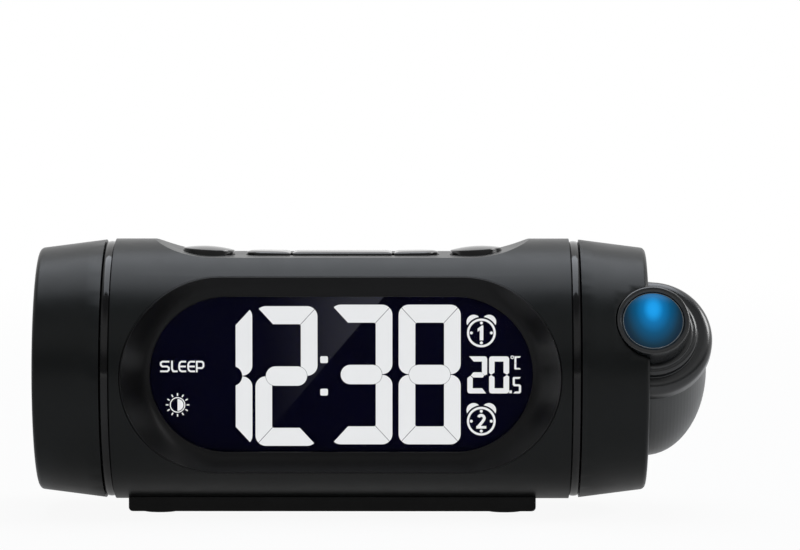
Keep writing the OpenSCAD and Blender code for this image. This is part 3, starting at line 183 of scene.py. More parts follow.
class Shader(Wiring):
    """A node material with one Principled shader, and helpers that wire its patterns"""

    def __init__(self, name, colour, roughness, **values):
        self.material = bpy.data.materials.new(name)
        self.material.use_nodes = True
        super().__init__(self.material.node_tree)
        self.principled = self.tree.nodes["Principled BSDF"]
        self.place = self.add("ShaderNodeTexCoord", {}).outputs["Object"]
        self.set(Base_Color=(*colour, 1.0), Roughness=roughness, **values)

    def set(self, **values):
        """Feeds the Principled shader's inputs, written with underscores for spaces."""
        self.feed(self.principled, {name.replace("_", " "): value
                                    for name, value in values.items()})

    def noise(self, scale, detail=2.0, stretch=None):
        """Noise over the object, with scale in cycles per metre."""
        place = self.place
        if stretch:
            mapping = self.add("ShaderNodeMapping", {"Vector": place, "Scale": stretch})
            place = mapping.outputs["Vector"]
        return self.add("ShaderNodeTexNoise", {
            "Vector": place, "Scale": scale, "Detail": detail}).outputs["Fac"]

    def spread(self, source, low, high):
        """A noise of about 0.3 to 0.7 is spread from low to high."""
        return self.ramp(source, 0.3, 0.7, low, high, "LINEAR")

    def vary_roughness(self, source, low, high):
        """A roughness between low and high, by the source."""
        self.set(Roughness=self.spread(source, low, high))

    def vary_colour(self, source, dark, light):
        """A colour between dark and light, by the source."""
        mix = self.add("ShaderNodeMix", {
            "Factor": self.spread(source, 0.0, 1.0), "A": (*dark, 1.0),
            "B": (*light, 1.0)}, data_type="RGBA")
        self.set(Base_Color=mix.outputs["Result"])

    def bump(self, source, depth):
        """Relief of that depth, in metres, by the source."""
        relief = self.add("ShaderNodeBump", {
            "Height": source, "Strength": 1.0, "Distance": depth})
        self.set(Normal=relief.outputs["Normal"])


def scaled(rgb, factor):
    """A colour made lighter or darker."""
    return tuple(min(1.0, c * factor) for c in rgb)


def moulded(name, rgb, roughness, grain=1800.0, depth=0.006 * MM, **values):
    """Moulded plastic: fine grain, faint clouding of the colour, uneven gloss."""
    s = Shader(name, rgb, roughness, **values)
    clouds = s.noise(45.0, 3.0)
    s.vary_colour(clouds, scaled(rgb, 0.9), scaled(rgb, 1.12))
    s.vary_roughness(s.noise(160.0, 4.0), roughness * 0.92, roughness * 1.08)
    s.bump(s.noise(grain, 2.0), depth)
    return s.material


def polished(name, rgb, roughness, uneven=0.2, wave=0.004 * MM, **values):
    """Gloss plastic: a very slight waviness and a few dull patches."""
    s = Shader(name, rgb, roughness, **values)
    s.vary_colour(s.noise(60.0), scaled(rgb, 0.92), scaled(rgb, 1.1))
    s.vary_roughness(s.noise(220.0, 5.0), roughness * (1 - uneven), roughness * (1 + uneven))
    s.bump(s.noise(120.0, 1.0), wave)
    return s.material


def metal(name, rgb, roughness):
    """Bare metal with drawn lines along one direction."""
    s = Shader(name, rgb, roughness, Metallic=1.0)
    lines = s.noise(700.0, 3.0, (1.0, 1.0, 12.0))
    s.vary_colour(lines, scaled(rgb, 0.86), scaled(rgb, 1.08))
    s.vary_roughness(lines, roughness * 0.8, roughness * 1.3)
    s.bump(lines, 0.003 * MM)
    return s.material


def finish(material, *names):
    """The named CAD nodes take the material."""
    for name in names:
        mesh = NODES[name].data
        mesh.materials.clear()
        mesh.materials.append(material)


def soften(width, *names):
    """The named CAD nodes get rounded outer edges. Their loose triangles are joined first."""
    for name in names:
        weld = NODES[name].modifiers.new("Weld", "WELD")
        weld.merge_threshold = 0.001 * MM
        bevel = NODES[name].modifiers.new("Bevel", "BEVEL")
        bevel.width = width
        bevel.segments = 2
        bevel.limit_method = "ANGLE"
        bevel.angle_limit = math.radians(50)
        bevel.harden_normals = True


# ---- Modelling helpers ----

def deselect():
    """Object mode, with nothing selected."""
    if bpy.context.object and bpy.context.object.mode != "OBJECT":
        bpy.ops.object.mode_set(mode="OBJECT")
    bpy.ops.object.select_all(action="DESELECT")


def pick(piece):
    """Selects one piece alone."""
    deselect()
    piece.select_set(True)
    bpy.context.view_layer.objects.active = piece


def settle(piece):
    """Applies the piece's place, so that its object sits at the origin."""
    pick(piece)
    bpy.ops.object.transform_apply(location=True, rotation=True, scale=True)


def apply_modifier(piece, kind, **values):
    """Adds a modifier to a new piece and applies it."""
    pick(piece)
    modifier = piece.modifiers.new(kind.title(), kind)
    for key, value in values.items():
        setattr(modifier, key, value)
    bpy.ops.object.modifier_apply(modifier=modifier.name)


def join(pieces, name):
    """Pieces made into one, with that name."""
    deselect()
    for piece in pieces:
        piece.select_set(True)
    bpy.context.view_layer.objects.active = pieces[0]
    if len(pieces) > 1:
        bpy.ops.object.join()
    whole = bpy.context.object
    whole.name = whole.data.name = name
    return whole


def half_turn(piece, name):
    """A copy with its own mesh, turned half round about the upright line in the middle."""
    pick(piece)
    bpy.ops.object.duplicate(linked=False)
    twin = bpy.context.object
    twin.name = twin.data.name = name
    twin.rotation_euler = (0, 0, math.pi)
    settle(twin)
    return twin


def wear(piece, material, body):
    """Gives a new piece its material and the body it rides on."""
    piece.data.materials.clear()
    piece.data.materials.append(material)
    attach(piece, body)


def sealed(piece):
    """A skin out of edit mode, its doubled points joined and its faces turned outward."""
    bpy.ops.mesh.select_all(action="SELECT")
    bpy.ops.mesh.remove_doubles(threshold=1e-7)
    bpy.ops.mesh.normals_make_consistent(inside=False)
    bpy.ops.object.mode_set(mode="OBJECT")
    return piece


def grown(name, loops):
    """A skin grown by extruding a ring of points from loop to loop, until it ends on the
    first loop again. Each loop lists the same number of points, in metres."""
    deselect()
    bpy.ops.mesh.primitive_circle_add(vertices=len(loops[0]), radius=1.0, fill_type="NOTHING")
    piece = bpy.context.object
    piece.name = piece.data.name = name
    for vertex, place in zip(piece.data.vertices, loops[0]):
        vertex.co = place
    bpy.ops.object.mode_set(mode="EDIT")
    bpy.ops.mesh.select_mode(type="EDGE")
    bpy.ops.mesh.select_all(action="SELECT")
    count = len(loops[0])
    for k, loop in enumerate(loops[1:], 1):
        bpy.ops.mesh.extrude_edges_move()
        bpy.ops.object.mode_set(mode="OBJECT")
        for vertex, place in zip(piece.data.vertices[k * count:], loop):
            vertex.co = place
        bpy.ops.object.mode_set(mode="EDIT")
    return sealed(piece)


def turned(name, profile, steps):
    """A profile of (radius, height) points in millimetres, extruded point by point and
    spun once round Z. A profile that ends off the axis is closed onto its start."""
    deselect()
    bpy.ops.mesh.primitive_plane_add(size=MM)
    piece = bpy.context.object
    piece.name = piece.data.name = name
    bpy.ops.object.mode_set(mode="EDIT")
    bpy.ops.mesh.select_all(action="SELECT")
    bpy.ops.mesh.merge(type="CENTER")
    bpy.ops.object.mode_set(mode="OBJECT")
    piece.data.vertices[0].co = (profile[0][0] * MM, 0, profile[0][1] * MM)
    bpy.ops.object.mode_set(mode="EDIT")
    bpy.ops.mesh.select_mode(type="VERT")
    bpy.ops.mesh.select_all(action="SELECT")
    for (r0, h0), (r1, h1) in zip(profile, profile[1:]):
        bpy.ops.mesh.extrude_region_move(
            TRANSFORM_OT_translate={"value": ((r1 - r0) * MM, 0, (h1 - h0) * MM)})
    if profile[0][0] > 0 or profile[-1][0] > 0:
        bpy.ops.mesh.select_all(action="SELECT")
        bpy.ops.mesh.edge_face_add()
        bpy.ops.mesh.delete(type="ONLY_FACE")
    bpy.ops.mesh.select_all(action="SELECT")
    bpy.ops.mesh.spin(steps=steps, angle=math.radians(360), center=(0, 0, 0), axis=(0, 0, 1),
                      use_auto_merge=True)
    return sealed(piece)


def smooth(piece, degrees):
    """Smooth shading, except at edges sharper than the angle."""
    pick(piece)
    bpy.ops.object.shade_smooth_by_angle(angle=math.radians(degrees))


def to_beam(piece):
    """A piece drawn along Z is turned to run along the projector's beam."""
    piece.rotation_euler = (math.radians(90) - BEAM_TILT, 0, 0)
    piece.location = (HEAD_X, 0, AXIS_Z)
    settle(piece)


def to_barrel_axis(piece, x):
    """A piece drawn along Z is turned to run along the case, from x."""
    piece.rotation_euler = (0, math.radians(90), 0)
    piece.location = (x, 0, AXIS_Z)
    settle(piece)


def rounded(points, radius):
    """Profile points with their inner corners rounded off to a radius, in millimetres."""
    steps = 5
    out = [points[0]]
    for before, corner, after in zip(points, points[1:], points[2:]):
        a, c, b = Vector(before), Vector(corner), Vector(after)
        r = min(radius, (a - c).length * 0.45, (b - c).length * 0.45)
        start, end = c + (a - c).normalized() * r, c + (b - c).normalized() * r
        for i in range(steps + 1):
            t = i / steps
            out.append(tuple(start * (1 - t) ** 2 + c * 2 * t * (1 - t) + end * t ** 2))
    out.append(points[-1])
    return out


# ---- Flat shapes of the display ----

def arc(cx, cy, r, start, end, steps):
    """Points of an arc, with angles in degrees."""
    turn = [math.radians(start + (end - start) * i / steps) for i in range(steps + 1)]
    return [(cx + r * math.cos(t), cy + r * math.sin(t)) for t in turn]


def circle(cx, cy, r, steps):
    """Points round a full circle."""
    return arc(cx, cy, r, 0, 360, steps)[:-1]


def stroke(points, width):
    """Outline of a line of that width through the points, with mitred corners."""
    left, right = [], []
    for i, point in enumerate(points):
        here = Vector(point)
        before = (here - Vector(points[i - 1])).normalized() if i else None
        after = (Vector(points[i + 1]) - here).normalized() if i < len(points) - 1 else None
        way = (before or after) + (after or before)
        way.normalize()
        across = Vector((-way.y, way.x))
        reach = width / 2 / max(0.5, abs(way.dot(after or before)))
        left.append(tuple(here + across * reach))
        right.append(tuple(here - across * reach))
    return left + right[::-1]


def flat_shape(name, outlines):
    """Closed outlines in millimetres, x and height above the axis, as a plate that stands on
    the front of the display glass. An outline inside another is a hole."""
    thick = SEGMENT_BACK - SEGMENT_FRONT
    deselect()
    bpy.ops.curve.primitive_bezier_circle_add(location=(0, 0, 0))
    shape = bpy.context.object
    shape.name = name
    data = shape.data
    data.splines.clear()
    data.dimensions = "2D"
    data.fill_mode = "BOTH"
    data.extrude = thick / 2
    for outline in outlines:
        line = data.splines.new("POLY")
        line.points.add(len(outline) - 1)
        for point, (x, y) in zip(line.points, outline):
            point.co = (x * MM, y * MM, 0.0, 1.0)
        line.use_cyclic_u = True
    pick(shape)
    bpy.ops.object.convert(target="MESH")
    shape = bpy.context.object
    shape.rotation_euler = (math.radians(90), 0, 0)
    shape.location = (0, SEGMENT_BACK - thick / 2, AXIS_Z)
    settle(shape)
    return shape


# ---- Operators ----

class CLOCK_OT_shell(bpy.types.Operator):
    """Satin black plastic of the case, rear cover, end caps and base"""
    bl_idname = "clock.shell"
    bl_label = "Shell"

    def execute(self, context):
        colours, _ = settings()
        satin = moulded("case_satin", colours.case_black, 0.33, Specular_IOR_Level=0.18)
        finish(satin, "main_case", "rear_cover", "left_cap", "projector_cap")
        finish(moulded("base_matt", colours.base_black, 0.5, Specular_IOR_Level=0.22),
               "base_stand", "battery_cover")
        soften(0.3 * MM, "left_cap", "projector_cap", "base_stand")
        return {"FINISHED"}


class CLOCK_OT_gloss(bpy.types.Operator):
    """Gloss black bezel and trim rings"""
    bl_idname = "clock.gloss"
    bl_label = "Bezel and trim rings"

    def execute(self, context):
        colours, _ = settings()
        gloss = polished("gloss_black", colours.gloss_black, 0.1, Specular_IOR_Level=0.3)
        bezel = polished("bezel_gloss", colours.gloss_black, 0.34, uneven=0.06,
                         wave=0.001 * MM, Specular_IOR_Level=0.16)
        self.bezel(bezel)
        left = self.trim_ring()
        for ring, node in ((left, "left_trim_ring"),
                           (half_turn(left, "right_trim_band"), "right_trim_ring")):
            wear(ring, gloss, "case")
            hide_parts(node)
        return {"FINISHED"}

    def oval(self, half_w, half_h, steps):
        """Points round a flat oval with half-round ends, x and height above the axis."""
        points = []
        for i in range(steps):
            t = 2 * math.pi * i / steps
            side = 1 if math.cos(t) >= 0 else -1
            points.append((side * (half_w - half_h) + half_h * math.cos(t),
                           half_h * math.sin(t)))
        return points

    def bezel(self, gloss):
        """Skin that dips from the case's surface to the window, with rolled edges."""
        steps = 256
        half_w, half_h = 63.1, 28.3
        opening_w, opening_h = 55.5, 22.7
        roll, roll_deep, roll_in = 0.35, 0.4, 0.3
        rim, flange, skin = 3.0, 1.3, 1.2
        front = WINDOW_FRONT / MM
        window_y, seat = front - skin, front - 1.0
        body = BODY_R / MM

        def on_case(z):
            """The case's surface at a height above its axis."""
            return -math.sqrt(body * body - z * z)

        def between(a, b, across, y):
            """A point at depth y, part of the way from one outline point to another."""
            return (a[0] + (b[0] - a[0]) * across, y, a[1] + (b[1] - a[1]) * across)
        outer = self.oval(half_w, half_h, steps)
        lip = self.oval(half_w - roll, half_h - roll, steps)
        inner = self.oval(opening_w, opening_h, steps)
        edge = self.oval(opening_w - roll_in, opening_h - roll_in, steps)
        back = self.oval(opening_w + flange, opening_h + flange, steps)
        loops = [[(x, min(on_case(z) + rim, seat), z) for x, z in outer],
                 [(x, on_case(z) + roll_deep, z) for x, z in outer]]
        for t in (0.25, 0.5, 0.75, 1.0):
            turn = math.radians(90 * t)
            loops.append([between(a, b, 1 - math.cos(turn),
                                  on_case(b[1]) + roll_deep * (1 - math.sin(turn)))
                          for a, b in zip(outer, lip)])
        for k in range(1, 13):
            t = k / 12
            dip = 0.25 * t + 0.75 * math.sin(math.pi / 2 * t)
            loops.append([between(a, b, t, on_case(a[1]) * (1 - dip) + window_y * dip)
                          for a, b in zip(lip, inner)])
        for t in (0.33, 0.66, 1.0):
            turn = math.radians(90 * t)
            loops.append([between(a, b, math.sin(turn), window_y + roll_in * (1 - math.cos(turn)))
                          for a, b in zip(inner, edge)])
        loops.append([(x, front, z) for x, z in edge])
        loops.append([(x, front, z) for x, z in back])
        loops.append(loops[0])
        places = [[(x * MM, y * MM, AXIS_Z + z * MM) for x, y, z in loop] for loop in loops]
        bezel = grown("bezel_ring", places)
        smooth(bezel, 40)
        wear(bezel, gloss, "case")
        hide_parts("bezel")

    def trim_ring(self):
        """The left ring, with a crowned face and rolled edges."""
        low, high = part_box("left_trim_ring")
        width = (high.x - low.x) / MM
        r_out = (high.z - AXIS_Z) / MM
        thick, crowning, clear, shoulder, roll = 3.0, 0.3, 0.05, 0.8, 0.35
        r_in = r_out - thick
        crown = [(r_out - crowning * (2 * t - 1) ** 2, clear + (width - 2 * clear) * t)
                 for t in (i / 10 for i in range(11))]
        profile = rounded([(r_in, clear), (r_out - shoulder, clear)] + crown +
                          [(r_out - shoulder, width - clear), (r_in, width - clear)], roll)
        ring = turned("left_trim_band", profile, 192)
        to_barrel_axis(ring, low.x)
        smooth(ring, 40)
        return ring


class CLOCK_OT_keys(bpy.types.Operator):
    """The round keys and the three keys in the long opening"""
    bl_idname = "clock.keys"
    bl_label = "Keys"
    # Half the length of the long opening's three keys together, and their end radius
    pill_half, pill_r = 28.0, 6.0

    def execute(self, context):
        colours, _ = settings()
        key = polished("key_gloss", colours.key_black, 0.1, Specular_IOR_Level=0.7)
        half, split, half_gap = self.pill_half, 14.8, 0.4
        low, high = KEY_RISE, 1.3
        round_left = self.round_key("round_button_left")
        pill_left = self.long_key("pill_button_left", -half, -split - half_gap, high, low)
        middle = self.long_key("snooze_button", -split + half_gap, split - half_gap, low, low)
        for piece, node, body in (
                (round_left, "round_key_left", "left_round"),
                (half_turn(round_left, "round_button_right"), "round_key_right", "right_round"),
                (pill_left, "pill_key_left", "left_pill"),
                (half_turn(pill_left, "pill_button_right"), "pill_key_right", "right_pill"),
                (middle, "snooze_key", "snooze")):
            wear(piece, key, body)
            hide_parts(node)
        return {"FINISHED"}

    def round_key(self, name):
        """The left round key: crowned top, rolled shoulder, wall, flange and nub."""
        ramp_r, flat_half, key_x, r = 36.0, 37.0, 39.0, 7.4
        lean = math.asin((key_x - flat_half) / ramp_r)
        rise = ramp_r * (1 - math.cos(lean))
        crowning, wall_top, roll = 0.8, 1.6, 0.12
        nub_r, nub_low, flange_r, flange_low, flange_top = 1.5, -4.73, 8.6, -3.5, -2.3
        curve = (r * r + crowning * crowning) / (2 * crowning)
        half = math.degrees(math.asin((r - roll) / curve))
        crown = arc(0, wall_top + crowning - curve, curve, 90 - half, 90, 14)
        # From the nub up to the wall, which turns into the crown in two short steps
        profile = [(0, nub_low), (nub_r, nub_low), (nub_r, flange_low), (flange_r, flange_low),
                   (flange_r, flange_top), (r, flange_top), (r, wall_top - 0.2),
                   (r - 0.04, wall_top - 0.07)] + crown
        key = turned(name, profile, 96)
        key.rotation_euler = (0, lean, 0)
        key.location = (-key_x * MM, 0, RECESS_Z + rise * MM)
        settle(key)
        smooth(key, 35)
        return key

    def long_key(self, name, x0, x1, z0, z1):
        """Part of a long oval between x0 and x1, its top sloping from z0 to z1."""
        wall, sunk = 4.0, 3.5
        deselect()
        bpy.ops.mesh.primitive_circle_add(vertices=128, radius=self.pill_r * MM,
                                          fill_type="NGON")
        key = bpy.context.object
        for vertex in key.data.vertices:
            vertex.co.x += math.copysign((self.pill_half - self.pill_r) * MM, vertex.co.x)
        bpy.ops.object.mode_set(mode="EDIT")
        for x, keep in ((x0, 1), (x1, -1)):
            if abs(x) < self.pill_half:
                bpy.ops.mesh.select_all(action="SELECT")
                bpy.ops.mesh.bisect(plane_co=(x * MM, 0, 0), plane_no=(1, 0, 0), use_fill=False,
                                    clear_inner=keep > 0, clear_outer=keep < 0)
        bpy.ops.mesh.select_all(action="SELECT")
        bpy.ops.mesh.extrude_region_move(TRANSFORM_OT_translate={"value": (0, 0, wall * MM)})
        for inset, rise in ((0.35, 0.2), (0.8, 0.2), (1.8, 0.1)):
            bpy.ops.mesh.inset(thickness=inset * MM, depth=rise * MM)
        bpy.ops.object.mode_set(mode="OBJECT")
        # The level key is stretched between its base and its sloping top
        top = max(v.co.z for v in key.data.vertices)
        base = RECESS_Z - sunk * MM
        for vertex in key.data.vertices:
            share = vertex.co.z / top
            along = (vertex.co.x / MM - x0) / (x1 - x0)
            height = RECESS_Z + (z0 + (z1 - z0) * along) * MM - base
            vertex.co.z = base + height * share
        apply_modifier(key, "BEVEL", width=0.15 * MM, segments=3, limit_method="ANGLE",
                       angle_limit=math.radians(12))
        key.name = key.data.name = name
        smooth(key, 35)
        return key


class CLOCK_OT_display(bpy.types.Operator):
    """Window, display glass and the lit time"""
    bl_idname = "clock.display"
    bl_label = "Display"

    def execute(self, context):
        colours, _ = settings()
        window = Shader("window_clear", (0.004, 0.004, 0.008), 0.05, Alpha=0.06,
                        Specular_IOR_Level=0.05)
        window.vary_colour(window.noise(40.0), (0.003, 0.003, 0.008), (0.004, 0.004, 0.011))
        finish(window.material, "display_window")
        finish(self.glass(colours.glass_navy), "lcd_panel")
        finish(lit_material(), "time_digits")
        return {"FINISHED"}

    def glass(self, navy):
        """Unlit display, with a painted reflection: a faint slanting band of light emitted from its
        glass.
        """
        s = Shader("display_glass", navy, 0.12, Specular_IOR_Level=0.02)
        s.vary_colour(s.noise(18.0, 1.0), scaled(navy, 0.85), scaled(navy, 1.15))
        place = s.add("ShaderNodeSeparateXYZ", {"Vector": s.place}).outputs
        # The painted reflection ends at a slanting line and fades towards the left
        slope, line, blur, strength = 1.173, AXIS_Z + 0.0077, 0.0004, 0.034
        dark_x, bright_x = -0.034, 0.011
        slant = s.maths("SUBTRACT", place["Z"], s.maths("MULTIPLY", place["X"], slope))
        edge = s.ramp(slant, line, line + blur)
        fade = s.ramp(place["X"], dark_x, bright_x)
        # Painted reflection: emitted light in the slanting band, instead of a real reflection
        painted_reflection = s.maths("MULTIPLY", edge, s.maths("MULTIPLY", fade, fade))
        s.set(Emission_Color=(0.83, 0.85, 1.0, 1.0),
              Emission_Strength=s.maths("MULTIPLY", painted_reflection, strength))
        return s.material


def lit_material():
    """White of the lit segments, made once."""
    made = bpy.data.materials.get("display_lit")
    if made:
        return made
    white = settings()[0].lit_white
    lit = Shader("display_lit", scaled(white, 0.2), 0.6, Specular_IOR_Level=0.1,
                 Emission_Color=(*white, 1.0), Emission_Strength=0.98)
    lit.vary_colour(lit.noise(90.0), scaled(white, 0.19), scaled(white, 0.21))
    return lit.material


class CLOCK_OT_icons(bpy.types.Operator):
    """Alarm icons, temperature, sun icon and word on the display"""
    bl_idname = "clock.icons"
    bl_label = "Icons and words"

    def execute(self, context):
        _, sizes = settings()
        alarm_x = 40.35
        for name, number, z in (("alarm_one", "1", 11.85), ("alarm_two", "2", -13.68)):
            self.alarm(name, number, alarm_x, z, sizes)
        self.temperature()
        self.sun()
        self.word(sizes)
        return {"FINISHED"}

    def sign(self, name, parts):
        """Flat shapes become one lit sign."""
        wear(join(parts, name), lit_material(), "case")

    def alarm(self, name, number, x, z, sizes):
        """A round clock with two bells, four dots and its number."""
        ring = sizes.icon_ring / MM
        parts = [flat_shape(name + "_ring", [
            circle(x, z, ring, 72), circle(x, z, ring - sizes.icon_stroke / MM, 72)])]
        out, dot_r = 2.88, 0.43
        dots = [circle(x + dx, z + dz, dot_r, 20)
                for dx, dz in ((0, out), (0, -out), (out, 0), (-out, 0))]
        parts.append(flat_shape(name + "_dots", dots))
        parts.append(self.number(name + "_figure", number, x, z))
        for side in (-1, 1):
            parts.append(self.bell(name + "_bell", x, z, side, ring))
        self.sign(name, parts)

    def number(self, name, number, x, z):
        """A bold one, or a two with a foot."""
        if number == "1":
            outline = [(-1.05, 1.2), (0.18, 2.15), (0.62, 2.15), (0.62, -2.15), (-0.42, -2.15),
                       (-0.42, 0.75), (-1.05, 0.35)]
            lines = [[(x + dx - 0.05, z + dz) for dx, dz in outline]]
        else:
            bow = arc(0, 0.85, 0.86, 160, -20, 14)
            bow += [(0.3, -0.2), (-0.95, -1.72)]
            lines = [stroke([(x + dx, z + dz) for dx, dz in bow], 0.82),
                     [(x - 1.45, z - 1.4), (x + 1.45, z - 1.4), (x + 1.45, z - 2.15),
                      (x - 1.45, z - 2.15)]]
        return join([flat_shape(name, [line]) for line in lines], name)

    def bell(self, name, x, z, side, ring):
        """A bell beside the top of the ring: a disc less the ring's own disc."""
        gap, bx, bz, r = ring + 0.5, side * 2.2, 3.17, 2.07
        reach = math.hypot(bx, bz)
        middle = math.degrees(math.atan2(bz, bx))
        inner = math.degrees(math.acos((reach ** 2 + gap ** 2 - r ** 2) / (2 * reach * gap)))
        outer = math.degrees(math.acos((r ** 2 + reach ** 2 - gap ** 2) / (2 * r * reach)))
        outline = arc(x + bx, z + bz, r, middle + 180 + outer - 360, middle + 180 - outer, 28)
        outline += arc(x, z, gap, middle + inner, middle - inner, 12)[1:-1]
        return flat_shape(name, [outline])

    def temperature(self):
        """Two figures of seven segments, a small C with its degree ring, a point and a five."""
        left, top = 103.8 * GRID, 68.6 * GRID

        def at(points):
            """Points in tenths of a grid step, right and down of the group's corner."""
            return [(left + x * GRID / 10, top - y * GRID / 10) for x, y in points]
        shapes = [
            # The two's upper hook, bar and lower hook
            at([(240, 510), (398, 510), (412, 516), (420, 532), (420, 690), (396, 702), (368, 676),
                (368, 562), (286, 562)]),
            at([(282, 670), (362, 670), (390, 700), (378, 722), (284, 722), (256, 704)]),
            at([(222, 730), (250, 706), (276, 726), (276, 830), (370, 830), (410, 882), (246, 882),
                (230, 876), (222, 860)]),
            # The nought's upper and lower half
            at([(440, 532), (448, 516), (464, 510), (616, 510), (632, 516), (640, 532), (640, 676),
                (618, 694), (584, 672), (584, 562), (494, 562), (494, 672), (460, 694), (440, 676)]),
            at([(440, 714), (460, 697), (494, 720), (494, 830), (584, 830), (584, 720), (618, 697),
                (640, 714), (640, 860), (632, 876), (616, 882), (464, 882), (448, 876),
                (440, 860)]),
            # The C's upper and lower half
            at([(694, 509), (757, 509), (745, 524), (715, 524), (712, 540), (712, 576), (692, 576)]),
            at([(692, 579), (712, 579), (712, 622), (718, 626), (744, 626), (757, 641), (698, 641),
                (692, 634)]),
            # The point and the five
            at([(642, 852), (668, 852), (668, 880), (642, 880)]),
            at([(684, 717), (757, 717), (742, 736), (700, 736), (697, 742), (697, 782), (706, 790),
                (744, 790), (760, 804), (760, 868), (748, 882), (682, 882), (700, 862), (734, 862),
                (738, 856), (738, 816), (732, 810), (690, 810), (676, 796), (676, 726)]),
        ]
        degree = [at(circle(672, 519, r, 28)) for r in (18, 9)]
        self.sign("temperature", [flat_shape("temperature_segments", shapes),
                                  flat_shape("temperature_degree", degree)])

    def sun(self):
        """A half-filled sun with twelve rays."""
        x, z = -47.3, -9.0
        ring_r, ring_in, half_r = 2.25, 1.95, 1.72
        ray_start, ray_end, ray_w = 2.62, 3.4, 0.36
        rays = []
        for i in range(12):
            a = math.radians(30 * i)
            rays.append(stroke([(x + r * math.cos(a), z + r * math.sin(a))
                                for r in (ray_start, ray_end)], ray_w))
        self.sign("sun_icon", [
            flat_shape("sun_ring", [circle(x, z, ring_r, 48), circle(x, z, ring_in, 48)]),
            flat_shape("sun_half", [arc(x, z, half_r, -90, 90, 24)]),
            flat_shape("sun_rays", rays)])

    def word(self, sizes):
        """Five letters drawn with strokes that turn in short slants at their corners."""
        h, w = sizes.word_height / MM, sizes.word_stroke / MM
        word_x, word_z = -52.4, 0.46
        low, high = word_z + w / 2, word_z + h - w / 2

        def letter(left, right, lines):
            """Strokes between two grid columns, with u and v from 0 to 1 across and up."""
            x0, x1 = word_x + left * GRID + w / 2, word_x + right * GRID - w / 2
            return [stroke([(x0 + (x1 - x0) * u, low + (high - low) * v) for u, v in line], w)
                    for line in lines]
        e = [[(1.1, 1), (0.36, 1), (0.12, 0.9), (0, 0.68), (0, 0.32), (0.12, 0.1), (0.36, 0),
              (1.1, 0)], [(0.1, 0.5), (1.05, 0.5)]]
        word = letter(0, 10, [[(1.05, 1), (0.2, 1), (0.02, 0.86), (0.02, 0.64), (0.2, 0.5),
                               (0.8, 0.5), (1, 0.36), (1, 0.14), (0.82, 0), (-0.05, 0)]])
        word += letter(11.4, 18.2, [[(0, 1.1), (0, 0.25), (0.25, 0), (1.1, 0)]])
        word += letter(18.6, 26.6, e) + letter(27.6, 35.6, e)
        word += letter(36.2, 44.6, [[(0, -0.1), (0, 1.09)],
                                    [(-0.05, 1), (0.78, 1), (1, 0.84), (1, 0.5), (0.78, 0.34),
                                     (0.05, 0.34)]])
        self.sign("word_sleep", [flat_shape("word_stroke", [outline]) for outline in word])


